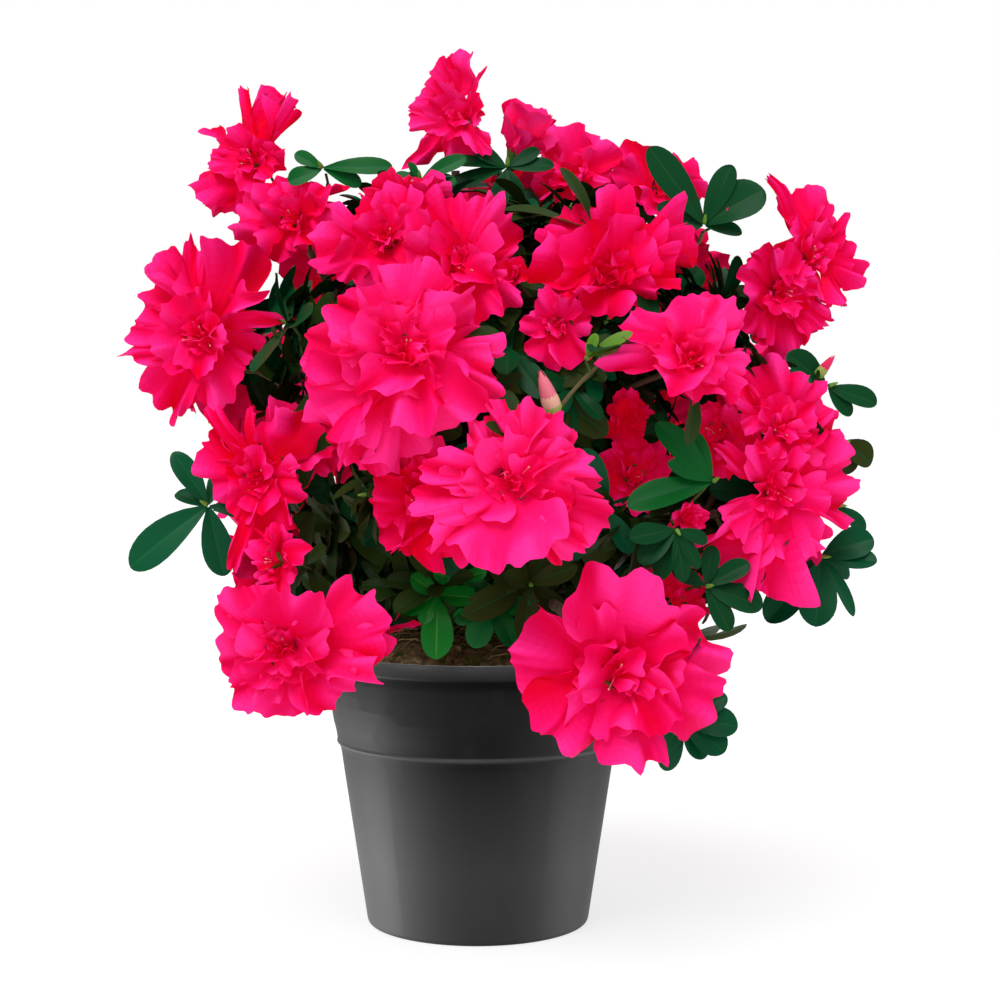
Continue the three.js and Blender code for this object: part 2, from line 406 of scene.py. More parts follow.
# Leaf blades by spray, from the shaded inside to the young tips, and the paler ribs.
BLADES = {
    "brown": (0.030, 0.022, 0.009),
    "olive": (0.026, 0.040, 0.008),
    "deep": (0.022, 0.046, 0.008),
    "dark": (0.003, 0.052, 0.015),
    "teal": (0.001, 0.074, 0.026),
    "green": (0.002, 0.100, 0.016),
    "bright": (0.003, 0.140, 0.012),
    "young": (0.100, 0.210, 0.014),
}
RIBS = {
    "rib_dark": (0.010, 0.064, 0.016),
    "rib_green": (0.006, 0.098, 0.030),
    "rib_young": (0.040, 0.210, 0.024),
}
RIB_OF = {
    **dict.fromkeys(("brown", "olive", "deep", "dark"), "rib_dark"),
    **dict.fromkeys(("teal", "green"), "rib_green"),
    **dict.fromkeys(("bright", "young"), "rib_young"),
}
LEAF_LOOKS = [*BLADES, *RIBS]
BLADE_ROUGHNESS, RIB_ROUGHNESS = 0.34, 0.42
BLADE_GLOSS, RIB_GLOSS = 0.12, 0.08
SHADED_GLOSS = {"brown": 0.03, "olive": 0.03, "deep": 0.05, "dark": 0.08}


def leaf_materials():
    """The looks of the blades, then of the ribs, in the order of LEAF_LOOKS."""
    looks = []
    for name, color in BLADES.items():
        looks.append((name, color, BLADE_ROUGHNESS, SHADED_GLOSS.get(name, BLADE_GLOSS)))
    for name, color in RIBS.items():
        looks.append((name, color, RIB_ROUGHNESS, RIB_GLOSS))
    return [plain(f"leaf_{name}", *look) for name, *look in looks]


# ---------------------------------------------------------------- petals and blooms


# A petal's outline: how early its end rounds off, how far its corners are cut, its notch, and how
# nearly its sides run level instead of spreading from the base.
SHAPES = {
    "round": (3.2, 0.42, 0.0, 0.0),
    "pointed": (1.25, 0.58, 0.0, 0.0),
    "forked": (2.4, 0.50, 0.30, 0.0),
    "notched": (3.0, 0.44, 0.10, 0.0),
    "strap": (2.6, 0.20, 0.0, 1.0),
}
# Lobes, then teeth, along a petal's end: each wave's depth as a share of its length, and its rate.
END_WAVES = [(0.050, 2.6), (0.040, 6.5), (0.020, 12), (0.020, 21), (0.010, 31)]
NOTCH_WIDTH = 0.16
CREASE = {"depth": 0.035, "width": 0.10}
# Across a petal: how strong its broad folds, its ruffles and the fine ones at its margin are.
FOLD_WAVES = {"folds": 1.4, "ruffles": 0.70, "fine": 0.30, "aside": 0.30}
PETAL_TWIST = 0.35
# The colour pales from the throat to the margin, the deeper throat partly its own colour and partly painted shade;
# on the folds it is painted light and shade, paler on their crests and deeper in their hollows.
PETAL_TONE = {"along": 0.76, "crests": 0.28}


def petal(random, length, spread, lean, cup, ruffle, bias, shape, detail):
    """A petal's points and tones. x is outward, y across and z up the bloom's axis.

    lean is the petal's angle from the axis at its base and its tip, and how early it turns.
    """
    rows, columns = detail
    u = np.concatenate([np.linspace(0.04, 0.965, rows - 1) ** 0.9, [1.0]])[:, None]
    v = np.linspace(-1, 1, columns)[None, :]
    phase = random.uniform(0, 2 * math.pi, 9)
    power, cut, notch, level = SHAPES[shape]

    # The outline: its end has lobes, small teeth and sometimes a notch.
    waves = sum(depth * np.sin(rate * v + turn) for (depth, rate), turn in zip(END_WAVES, phase))
    dip = notch * np.exp(-(((v - 0.25 * math.sin(phase[4])) / NOTCH_WIDTH) ** 2))
    edge = 1 - cut * abs(v) ** power + waves - dip
    reach = u * (1 + (edge - 1) * smooth(0.2, 1, u))
    angle = spread * v * (0.55 + 0.45 * smooth(0, 0.7, u))
    angle = angle * (1 - level + level * smooth(0, 0.35, u) / np.maximum(u, 0.35))
    along, across = length * reach * np.cos(angle), length * reach * np.sin(angle)

    # The midline turns from the base's lean to the tip's.
    steps = np.linspace(0, 1.15 * length, 60)
    tilt = lean[0] + (lean[1] - lean[0]) * (steps / length) ** lean[2]
    out = np.concatenate([[0], np.cumsum(np.sin(tilt[:-1]) * np.diff(steps))])
    up = np.concatenate([[0], np.cumsum(np.cos(tilt[:-1]) * np.diff(steps))])
    here = np.interp(along, steps, tilt)
    x, z = np.interp(along, steps, out), np.interp(along, steps, up)

    # Across, the petal is cupped, creased along its middle, folded and ruffled towards its margin,
    # and twisted about its midline.
    bend = cup / length
    y = np.sin(bend * across) / bend
    lift = (1 - np.cos(bend * across)) / bend
    margin = smooth(0.2, 1, u)
    folds = np.sin(3.6 * v + phase[5]) * (0.6 + 0.4 * np.sin(1.3 * v + phase[4]))
    ruffles = np.sin(8.5 * v + phase[6] + 2.0 * u)
    fine = np.sin(15 * v + phase[7]) + 0.6 * np.sin(22 * v + phase[8])
    waves = FOLD_WAVES["folds"] * margin * folds + FOLD_WAVES["ruffles"] * margin**2 * ruffles
    waves = waves + FOLD_WAVES["fine"] * margin**4 * fine
    crease = CREASE["depth"] * np.exp(-((v / CREASE["width"]) ** 2)) * u * (1.1 - u)
    lift = lift + ruffle * length * waves - length * crease
    y = y + ruffle * length * FOLD_WAVES["aside"] * margin**3 * np.cos(8.5 * v + phase[6])
    twist = random.normal() * PETAL_TWIST * u
    y, lift = y * np.cos(twist) - lift * np.sin(twist), lift * np.cos(twist) + y * np.sin(twist)
    grid = np.stack([x - np.cos(here) * lift, y, z + np.sin(here) * lift], axis=-1)

    def middle(field):
        """A field's value in the middle of each quad."""
        field = np.broadcast_to(field, (rows, columns))
        return (field[1:, 1:] + field[:-1, 1:] + field[1:, :-1] + field[:-1, :-1]) / 4

    # Tone: deeper towards the throat, partly painted shade, plus painted light and shade from the folds, paler on
    # their crests and deeper in their hollows.
    tone = PETAL_TONE["along"] * middle(u) ** 0.9 + PETAL_TONE["crests"] * middle(waves) + bias
    return grid, np.clip(tone * (PETAL_TONES - 1), 0, PETAL_TONES - 1).round().astype(int)


# A style is its layers of petals, from the outside in: how many, their length as a share of the
# bloom's radius, half their angle, their lean at base and tip, how early they turn, cup, ruffle,
# lighter (+) or deeper (-) colour.
STYLES = {
    "open": [
        (6, 1.00, 40, 55, 98, 0.8, 0.4, 0.075, 0.04),
        (5, 0.76, 42, 42, 80, 0.9, 0.7, 0.09, 0.02),
        (4, 0.48, 40, 20, 56, 1.0, 1.4, 0.13, -0.08),
        (3, 0.32, 28, 4, 34, 1.0, 2.0, 0.14, -0.18),
    ],
    "double": [
        (6, 1.00, 42, 58, 104, 0.8, 0.4, 0.085, 0.04),
        (5, 0.80, 44, 42, 84, 0.9, 0.6, 0.10, 0.03),
        (5, 0.58, 40, 24, 60, 1.0, 1.1, 0.13, 0.0),
        (4, 0.38, 32, 6, 36, 1.0, 1.8, 0.15, -0.12),
    ],
    "cup": [
        (6, 1.15, 40, 14, 54, 2.2, 1.6, 0.05, 0.10),
        (5, 1.00, 36, 6, 30, 1.8, 2.0, 0.08, 0.0),
        (3, 0.70, 30, 2, 16, 1.2, 2.3, 0.10, -0.15),
    ],
    "button": [
        (5, 1.00, 46, 30, 62, 1.0, 1.5, 0.06, 0.06),
        (5, 0.84, 44, 16, 34, 1.0, 2.2, 0.06, -0.05),
        (4, 0.62, 40, 4, 14, 1.0, 2.8, 0.08, -0.15),
    ],
    "heart": [
        (5, 0.46, 38, 20, 58, 1.0, 1.3, 0.14, -0.04),
        (4, 0.33, 34, 8, 36, 1.0, 1.8, 0.15, -0.14),
        (3, 0.22, 30, 0, 20, 1.0, 2.2, 0.15, -0.22),
    ],
    "rose_heart": [
        (5, 0.62, 46, 30, 52, 1.0, 1.5, 0.05, 0.04),
        (4, 0.50, 46, 16, 30, 1.0, 2.2, 0.05, -0.06),
        (3, 0.36, 42, 2, 12, 1.0, 2.8, 0.07, -0.18),
    ],
}
# Petals set one by one round the blooms that face the front, outer ones first: angle clockwise from
# upright seen from the front, length, half the petal's angle, and how far it folds forward. The
# bloom's style then gives only the small petals round its throat.
PETALS = {
    1: [
        (-73, 35, 26, -5), (74, 37, 27, 0), (173, 35, 28, 0), (-128, 35, 26, 8), (116, 36, 27, 5),
        (2, 40, 33, 26), (-40, 26, 34, 20), (38, 27, 32, 15), (95, 25, 34, 20), (150, 26, 32, 15),
        (-155, 25, 32, 20), (-98, 24, 34, 25),
    ],
    2: [
        (66, 43, 20, 0), (94, 40, 18, 5), (126, 29, 28, 5), (178, 24, 28, 0), (-136, 24, 28, 5),
        (-88, 26, 28, 0), (-39, 30, 26, 5), (29, 37, 28, 34), (62, 25, 32, 28), (-60, 18, 34, 30),
        (10, 18, 30, 45), (120, 18, 32, 30), (185, 15, 30, 35), (-120, 15, 30, 35),
    ],
    4: [
        (-5, 37, 11, -5), (-28, 34, 15, 0), (30, 39, 22, 5), (-54, 33, 22, 0), (-77, 29, 18, 5),
        (-104, 32, 13, 0, "pointed"), (-148, 33, 21, 0), (157, 27, 25, 5),
        (76, 43, 15, 24, "forked"), (105, 22, 20, 10), (-30, 20, 34, 20), (40, 22, 32, 20),
        (-110, 22, 38, 22), (180, 18, 34, 30), (100, 16, 30, 35),
    ],
    6: [
        (212, 45, 7, -10, "pointed"), (206, 41, 17, -5), (-25, 31, 26, 0), (10, 32, 26, 10),
        (84, 32, 16, -5), (109, 33, 22, 0), (240, 37, 26, 0), (270, 34, 24, 0), (-60, 30, 28, 5),
        (50, 31, 32, 15), (136, 32, 26, 10), (178, 31, 23, 22), (-40, 21, 34, 25), (0, 20, 34, 25),
        (45, 23, 34, 35), (95, 20, 32, 25), (150, 20, 32, 30), (215, 24, 30, 25), (270, 24, 32, 25),
    ],
    8: [
        (-12, 27, 17, 0), (-37, 24, 14, 0), (16, 27, 17, 0), (41, 28, 20, 5), (83, 31, 20, 0),
        (110, 33, 20, 0), (139, 34, 20, 0), (223, 35, 18, 0), (260, 34, 18, 0), (-83, 31, 14, 0),
        (188, 36, 36, 18), (-60, 21, 32, 25), (-20, 20, 32, 30), (25, 20, 32, 30), (75, 21, 34, 25),
        (130, 22, 34, 25), (240, 22, 32, 25),
    ],
    9: [
        (265, 31, 13, -10, "pointed"), (25, 26, 26, -5), (-54, 25, 30, 0), (12, 22, 34, 8),
        (48, 23, 26, 5), (80, 21, 14, 0, "pointed"), (124, 22, 24, 5), (160, 17, 30, 10),
        (262, 18, 30, 25), (205, 18, 42, 32),
    ],
    11: [
        (-12, 20, 33, 10), (20, 21, 28, 5), (-60, 23, 28, 5), (-100, 26, 27, 0), (-135, 23, 30, 0),
        (70, 16, 32, 20), (110, 18, 34, 15), (170, 21, 36, 15), (-70, 14, 36, 35), (10, 12, 36, 40),
    ],
    12: [
        (-8, 27, 23, 0), (22, 24, 22, 5), (50, 27, 22, 0), (82, 20, 25, 10), (122, 26, 22, 0),
        (162, 25, 28, 5), (-80, 22, 30, 10), (-45, 24, 26, 5), (215, 21, 30, 10), (60, 17, 38, 40),
        (-60, 17, 38, 40), (125, 15, 34, 38),
    ],
    13: [
        (-75, 28, 30, 0), (-40, 29, 28, 0), (-5, 29, 30, 0), (30, 31, 26, 0), (62, 35, 18, 0),
        (84, 27, 22, 5), (110, 20, 28, 10), (185, 21, 34, 5), (230, 24, 26, 5), (-100, 18, 28, 20),
        (60, 20, 36, 30), (-55, 20, 34, 32), (4, 22, 50, 52), (180, 12, 40, 55),
    ],
    14: [
        (-20, 14, 27, 5), (-90, 12, 27, 5), (205, 15, 34, 5), (150, 16, 30, 5), (90, 12, 27, 10),
        (30, 15, 20, 10),
    ],
    16: [
        (-15, 20, 36, 5), (35, 20, 36, 5), (-65, 16, 34, 5), (85, 16, 34, 5), (135, 18, 34, 5),
        (180, 18, 36, 5), (-120, 17, 34, 5),
    ],
    17: [
        (-50, 22, 32, 0), (-15, 17, 34, 5), (25, 16, 32, 5), (70, 21, 28, 0), (110, 20, 30, 5),
        (-90, 20, 32, 0), (180, 14, 38, 10), (-130, 17, 32, 5),
    ],
    18: [
        (-6, 25, 18, 0), (-30, 22, 16, 0), (32, 21, 8, 0, "pointed"), (-58, 22, 24, 0),
        (-95, 20, 22, 0), (-138, 28, 13, 0, "pointed"), (178, 20, 26, 5), (140, 20, 20, 5),
        (60, 13, 24, 20), (100, 12, 26, 20), (-75, 14, 32, 30), (-20, 14, 30, 30),
        (-150, 13, 30, 30),
    ],
    20: [
        (-58, 28, 4, 0, "strap"), (-14, 32, 9, 0, "strap"), (16, 31, 12, 5, "strap"),
        (38, 31, 7, -5, "strap"), (50, 17, 9, 0, "pointed"), (90, 15, 26, 5), (120, 15, 28, 5),
        (243, 26, 31, 0), (215, 23, 27, 0), (-86, 18, 18, 5), (160, 14, 28, 10), (-40, 15, 30, 30),
        (60, 13, 30, 30), (180, 11, 32, 35), (250, 15, 34, 25),
    ],
    21: [
        (-75, 24, 26, 0), (-40, 20, 32, 15), (-8, 16, 32, 20), (28, 17, 32, 15), (60, 23, 28, 10),
        (95, 22, 28, 10), (235, 23, 24, 0), (200, 17, 32, 10), (150, 16, 32, 10), (80, 14, 36, 35),
        (-50, 13, 36, 35), (10, 12, 34, 40),
    ],
    22: [
        (-27, 34, 6, 0, "strap"), (-8, 28, 26, 0), (18, 24, 24, 5), (46, 24, 18, 0, "pointed"),
        (80, 19, 24, 10), (112, 25, 20, 0, "forked"), (150, 23, 18, 0), (178, 20, 28, 10),
        (-55, 19, 30, 10), (-100, 22, 30, 10), (-140, 23, 30, 10), (0, 14, 34, 35),
        (110, 12, 34, 35),
    ],
    23: [
        (-85, 19, 34, 0), (217, 23, 25, 0), (180, 24, 22, 0), (141, 24, 22, 0),
        (118, 22, 7, 0, "pointed"), (-40, 20, 20, 10), (0, 18, 22, 15), (50, 15, 26, 20),
        (90, 15, 26, 15), (200, 14, 34, 30), (140, 13, 30, 30),
    ],
    24: [
        (-17, 27, 22, 0), (-50, 27, 14, 0), (32, 24, 24, 0), (63, 23, 20, 0), (93, 27, 20, 0),
        (-85, 17, 22, 10), (125, 18, 24, 10), (180, 15, 28, 15), (-130, 15, 26, 15),
        (-30, 16, 30, 30), (50, 15, 32, 30),
    ],
    26: [
        (-56, 31, 11, 0), (-30, 23, 20, 10), (54, 29, 26, 0), (79, 31, 18, 0), (105, 31, 15, 0),
        (134, 27, 17, 0), (179, 39, 20, 0), (199, 39, 12, 0), (225, 38, 21, 0), (243, 25, 18, 5),
        (15, 18, 28, 20), (160, 25, 30, 15), (215, 25, 28, 15), (90, 19, 30, 25), (5, 13, 30, 35),
        (-90, 14, 30, 30),
    ],
    27: [
        (-34, 35, 6, 0, "strap"), (-6, 28, 7, 0, "strap"), (13, 31, 13, 0), (36, 31, 22, 0),
        (-63, 25, 24, 0), (-95, 20, 26, 5), (100, 20, 24, 5), (68, 20, 26, 10), (159, 26, 29, 0),
        (-150, 17, 30, 5), (192, 34, 6, 0, "strap"), (-50, 14, 36, 30), (30, 15, 36, 30),
        (140, 14, 36, 30),
    ],
}
# The rows and columns of points in each petal, by the size from which a front bloom has them, and
# in the blooms behind.
DETAIL = [(60, (13, 39)), (36, (13, 31)), (0, (9, 17))]
BACK_DETAIL = (9, 19)
BACK_SEEDS = 100  # the blooms at the sides and back have seeds from here on
STAMENS = {"radius": 0.22, "length": 0.42}
LEAFY_SIZE = 30  # a bloom larger than this has stamens and a full collar of leaves
PETAL_SWIRL = {"size": 0.65, "amount": 0.10}  # as shares of the bloom's radius
PETAL_RISE_STEP = 0.28  # how far each set petal's foot lies above the last one's


def set_petals(random, seed):
    """The petals of a bloom that are set one by one: the turn, the rise and the shape of each."""
    for number, (clock, length, half, fold, *shape) in enumerate(PETALS.get(seed, ())):
        lean = (math.radians(55 - 0.35 * fold), math.radians(98 - fold + random.normal() * 9), 0.85)
        yield math.radians(90 - clock), PETAL_RISE_STEP * number, {
            "length": 1.06 * length,
            "spread": math.radians(half * (1.4 if half > 12 else 1)),
            "lean": lean,
            "cup": 0.4 + 0.02 * max(fold, 0) + random.normal() * 0.2,
            "ruffle": random.uniform(0.10, 0.15) * (0.35 if half < 12 else 1.0),
            "bias": 0.002 * fold + random.normal() * 0.07,
            "shape": shape[0] if shape else "round",
        }


def ruled_petals(random, style, radius, rise):
    """The petals of a bloom by its style's layers, in the same form, the first ones at rise."""
    for layer, row in enumerate(STYLES[style]):
        count, length, spread, low, high, power, cup, ruffle, bias = row
        start = random.uniform(0, 2 * math.pi)
        for i in range(count):
            low_lean, high_lean = low + random.normal() * 6, high + random.normal() * 13
            turn = start + 2 * math.pi * (i + random.uniform(-0.2, 0.2)) / count
            yield turn, rise + 0.02 * radius * layer, {
                "length": radius * 1.02 * length * random.uniform(0.80, 1.12),
                "spread": math.radians(spread * random.uniform(0.75, 1.15)),
                "lean": (math.radians(low_lean), math.radians(high_lean), power),
                "cup": cup * random.uniform(0.5, 1.3) * random.choice([1, 1, 1, -0.5]),
                "ruffle": ruffle * random.uniform(0.75, 1.3),
                "bias": bias + random.normal() * 0.07,
                "shape": random.choice(["round", "round", "notched"]),
            }


def bloom(petals, trims, place, style, shade, seed):
    """A bloom: its petals, a few stamens, and its calyx on the end of a pedicel."""
    base, axis, size = place
    detail = next(grid for least, grid in DETAIL if size > least)
    if seed >= BACK_SEEDS:
        detail = BACK_DETAIL
    random = seeded(1, seed)
    turn = basis(axis).T
    radius = size / 2
    parts = list(set_petals(random, seed))
    parts += list(ruled_petals(random, style, radius, 0.12 * len(parts)))
    for azimuth, rise, shape in parts:
        # The bloom's shade moves all its petals' colours, partly as painted light and shade.
        shape["bias"] += shade
        grid, tone = petal(random, detail=detail, **shape)
        grid = turned(grid, azimuth) + [0, 0, rise]
        grid = swirl(grid, random, PETAL_SWIRL["size"] * radius, PETAL_SWIRL["amount"] * radius)
        petals.add(grid @ turn + base, tone)
    if size > LEAFY_SIZE:
        stamens(trims, random, base, turn, radius)
    calyx(trims, random, base, turn, radius)


def stamens(trims, random, base, turn, radius):
    """Curved pale threads from the throat, each with a small anther."""
    for _ in range(random.integers(1, 4)):
        angle, lean = random.uniform(0, 2 * math.pi), random.uniform(0.15, 0.5)
        end = STAMENS["length"] * radius * random.uniform(0.8, 1.25)
        t = np.linspace(0.1, 1, 6)[:, None]
        aside = np.array([[math.cos(angle), math.sin(angle), 0.0]])
        path = end * (t * [[0, 0, 1]] * math.cos(lean) + t**1.6 * aside * math.sin(lean))
        tube(trims, path @ turn + base, STAMENS["radius"] * np.linspace(1, 0.6, 6), 5, LOOK["thread"])
        tip = path[-1] + np.linspace(-0.5, 0.9, 5)[:, None] * unit(path[-1] - path[-2])
        tube(trims, tip @ turn + base, [0.1, 0.35, 0.4, 0.3, 0.05], 6, LOOK["anther"])


def calyx(trims, random, base, turn, radius):
    """A green cup with five points under the petals, on a short stalk."""
    cup = 0.10 * radius + 0.8
    z = np.array([-0.9, -0.5, 0.0, 0.7, 1.5])[:, None] * cup
    r = np.array([0.45, 0.8, 1.05, 1.15, 1.5])[:, None] * cup
    angle = np.linspace(0, 2 * math.pi, 20, endpoint=False)[None, :]
    points = 0.5 + 0.5 * np.cos(5 * angle + random.uniform(0, 6))
    z = z + cup * points * np.array([0, 0, 0.1, 0.5, 1.2])[:, None]
    grid = np.stack([r * np.cos(angle), r * np.sin(angle), z], axis=-1)
    trims.add(grid @ turn + base, LOOK["calyx"], closed=True)


# Base colour, roughness and specular of each trim.
TRIM_LOOKS = {
    "thread": ((0.93, 0.16, 0.33), 0.45, 0.2),
    "anther": ((0.72, 0.26, 0.24), 0.6, 0.2),
    "calyx": ((0.045, 0.19, 0.018), 0.5, 0.3),
    "sepal": ((0.16, 0.33, 0.045), 0.5, 0.3),
    "bud_scale": ((0.34, 0.42, 0.10), 0.5, 0.3),
    "bud_pink": ((0.82, 0.020, 0.12), 0.45, 0.25),
    "bud_rose": ((0.90, 0.22, 0.30), 0.45, 0.25),
    "bud_pale": ((0.90, 0.52, 0.38), 0.45, 0.25),
}
LOOK = {name: number for number, name in enumerate(TRIM_LOOKS)}
# A bud's whorls: reach and girth as shares of its length, the number of scales, and how late they
# narrow. A larger bud has more points in each scale.
BUD_WHORLS = [(1.0, 0.165, 3, 5.0), (0.74, 0.185, 4, 2.4), (0.42, 0.190, 5, 1.6)]
BUD_DETAIL = [(6, (9, 7)), (0, (5, 4))]
LEAF_BUD = ("sepal", "sepal", "calyx")


def bud(trims, random, base, axis, length, looks):
    """A pointed bud of overlapping scales: whorls of narrow cups, the inner ones longer."""
    turn = basis(axis, random.uniform(0, 6)).T
    rows, columns = next(grid for least, grid in BUD_DETAIL if length > least)
    u = np.linspace(0, 1, rows)[:, None]
    v = np.linspace(-1, 1, columns)[None, :]
    for look, (reach, girth, count, taper) in zip(looks, BUD_WHORLS):
        half = 1.6 * math.pi / count * (1 - u**taper) + 0.02
        width = length * girth * np.sin(math.pi * u**0.62 * 0.97) ** 0.8 + 0.1
        for i in range(count):
            angle = v * half + 2 * math.pi * i / count + 0.9 * u
            rise = length * reach * u + 0 * v
            grid = np.stack([width * np.cos(angle), width * np.sin(angle), rise], axis=-1)
            trims.add(grid @ turn + base, LOOK[look])


# The blooms that face the front, then a few at the sides and the top: the mass each belongs to, its
# throat's place in that mass's box, where -1 and 1 are the box's sides, then its bearing, elevation,
# size, style, shade and seed. The shade pales (+) or deepens (-) all the bloom's petals: partly the blooms' own
# difference in colour, partly painted shade on blooms that lie in shadow and painted light on those in full light.
BLOOMS = [
    ("low_front_right", (-0.05, 0.35, -0.05), 5, 0, 76, "heart", 0.0, 1),
    ("low_front_left", (-0.16, 0.38, -0.31), -12, -3, 62, "heart", 0.0, 2),
    ("low_front_left", (-0.26, 0.66, 0.61), -50, 10, 34, "open", -0.15, 3),
    ("left_side", (0.03, 0.26, -0.15), -15, 3, 64, "heart", -0.05, 4),
    ("front_upper_left", (0.07, 0.32, 0.11), 5, 8, 64, "heart", 0.10, 6),
    ("front_upper_left", (-0.27, 0.50, -0.28), -25, -5, 50, "double", 0.0, 7),
    ("front_middle", (0.10, 0.35, 0.15), 3, 3, 66, "heart", 0.14, 8),
    ("front_upper_right", (0.24, 0.20, -0.23), 10, 10, 46, "rose_heart", 0.06, 9),
    ("front_middle_left", (0.48, 0.30, 0.04), 0, -5, 52, "open", -0.26, 10),
    ("front_top_left", (-0.36, 0.20, 0.03), -12, 18, 44, "heart", -0.09, 11),
    ("front_top_left", (0.41, 0.10, -0.26), 8, 12, 50, "heart", -0.11, 12),
    ("front_top_right", (0.10, 0.25, -0.18), 3, 20, 56, "heart", -0.27, 13),
    ("front_top_right", (-0.44, -0.05, -0.73), -8, -10, 28, "heart", -0.06, 14),
    ("front_top_right", (-0.90, 0.10, -0.17), -10, 10, 16, "button", -0.30, 15),
    ("right_top", (-0.54, -0.30, 0.32), -8, 25, 40, "rose_heart", -0.10, 16),
    ("right_top", (0.58, -0.10, 0.17), 20, 25, 40, "heart", -0.18, 17),
    ("crown_top", (0.20, 0.10, -0.06), -20, 5, 42, "heart", 0.0, 18),
    ("crown_top_right", (-0.60, 0.0, -0.34), 50, 62, 42, "cup", 0.22, 19),
    ("left_top_tip", (0.15, 0.15, -0.32), -25, 15, 42, "heart", -0.16, 20),
    ("left_top", (-0.10, 0.20, -0.11), -25, 15, 42, "heart", -0.16, 21),
    ("right_side_upper", (0.26, 0.10, 0.03), 25, 12, 46, "heart", -0.12, 22),
    ("right_side_upper", (-0.13, -0.20, -0.40), 12, -3, 42, "heart", -0.15, 23),
    ("right_front_upper", (-0.10, 0.10, -0.26), 15, 10, 48, "heart", 0.0, 24),
    ("right_front_upper", (-0.90, 0.25, -0.30), -20, 10, 34, "open", -0.20, 25),
    ("right_front_low", (-0.07, 0.20, 0.38), 15, -3, 62, "heart", 0.0, 26),
    ("left_front", (-0.14, 0.20, -0.14), -18, 0, 50, "heart", -0.18, 27),
    ("left_front", (0.50, 0.30, 0.27), -10, 25, 40, "open", -0.22, 28),
    ("front_heart", (0.07, 0.45, 0.88), 10, 10, 28, "button", -0.35, 29),
    ("front_heart", (0.80, -0.16, -0.30), 20, 0, 18, "button", -0.10, 30),
    ("front_heart", (0.11, 0.25, 0.16), 20, 20, 34, "open", -0.25, 31),
    ("low_right_heart", (-0.30, 0.25, -0.34), 20, 10, 30, "open", -0.24, 32),
    ("right_side_upper", (0.15, 0.95, -0.35), 95, 10, 50, "double", 0.0, 301),
    ("right_front_low", (0.10, 0.95, 0.15), 92, 5, 50, "open", 0.0, 302),
    ("left_side", (-0.20, 0.95, -0.20), -97, 5, 50, "double", 0.0, 303),
    ("left_front", (-0.35, 0.90, -0.10), -95, 0, 46, "open", 0.0, 304),
    ("right_top", (-0.60, 0.30, 0.10), 150, 75, 46, "double", 0.0, 305),
    ("front_top_left", (-0.20, 0.95, 0.50), -20, 76, 46, "double", 0.0, 306),
]
# The masses round the back carry two blooms each, by rule.
AROUND = {"per_mass": 2, "size": (56, 68), "spread": 0.42, "jitter": 24, "out": 0.15, "sunk": 0.22}
RAISED = {"back_low_1": 0.45}  # a mass whose blooms sit higher in it, clear of the front's outline


def mass_box(name):
    """The middle and half the size of a CAD mass's box, in mm."""
    low, high = (np.array(corner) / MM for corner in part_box(f"mass_{name}"))
    return (low + high) / 2, (high - low) / 2


def in_mass(name, offset):
    """The point at an offset from the middle of a mass's box, in halves of the box's size."""
    middle, half = mass_box(name)
    return middle + half * offset


masses = [name[5:] for name in sorted(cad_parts) if name.startswith("mass_")]
boughs = sorted(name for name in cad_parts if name.startswith("bough_"))
middles = np.array([mass_box(name)[0] for name in masses])
heart = middles.mean(0)


def around_blooms():
    """Blooms for the masses at the back, facing away from the crown's heart."""
    rows = []
    around = [name for name in masses if name.startswith("back_") or name == "top_back"]
    for number, name in enumerate(around):
        random = seeded(2, number)
        middle, half = mass_box(name)
        out = middle - heart
        bearing = math.degrees(math.atan2(out[0], -out[1]))
        lift = math.degrees(math.atan2(out[2], math.hypot(out[0], out[1])))
        sideways = np.array([math.cos(math.radians(bearing)), math.sin(math.radians(bearing)), 0])
        for i in range(AROUND["per_mass"]):
            spread = AROUND["spread"] if i % 2 else -AROUND["spread"]
            side = spread * unit([math.cos(number), 0, math.sin(number)])
            offset = side[0] * sideways + [0, 0, side[2] + RAISED.get(name, 0)]
            offset = offset + AROUND["out"] * unit(out)
            turn, tilt = (random.uniform(-1, 1) * AROUND["jitter"] for _ in range(2))
            faces = (bearing + turn, 0.6 * lift + tilt)
            size = random.uniform(*AROUND["size"])
            offset = offset - AROUND["sunk"] * size * direction(*faces) / half
            style = ["open", "double"][i % 2]
            rows.append((name, tuple(offset), *faces, size, style, -0.03, BACK_SEEDS + 10 * number + i))
    return rows


# ---------------------------------------------------------------- leaves


# Across a blade: its margins, its sides and its rib. Its stalk is a share of its half width, and its
# droop, fold, wave and twist are shares of its length or width.
BLADE_ACROSS = [-1, -0.55, -0.06, 0.06, 0.55, 1]
BLADE = {"widest": 0.565, "stalk": 0.11, "droop": 0.35, "wave": 0.05, "twist": 0.25}
BLADE_FOLD = {"rise": 0.46, "flatten": 0.22}
GOLDEN_ANGLE = 2.39996
ROSETTE = {"stagger": 3.5, "up": 0.25, "outer": 1.05, "shorter": 0.35, "slimness": (0.38, 0.47)}
# The air among and before a bloom's petals, where no leaf may stand, as shares of the bloom's size:
# how far it goes, how soon it is fully open, half its width there, and the least part of that width.
FUNNEL = {"reach": 1.2, "opening": 0.22, "half": 0.55, "throat": 0.2}
# The lowest that a leaf's tip may hang over the pot's mouth, in the front and behind.
LEAF_FLOOR = {"front": 128.0, "back": 112.0, "front_until": 15, "radius": 72.0}


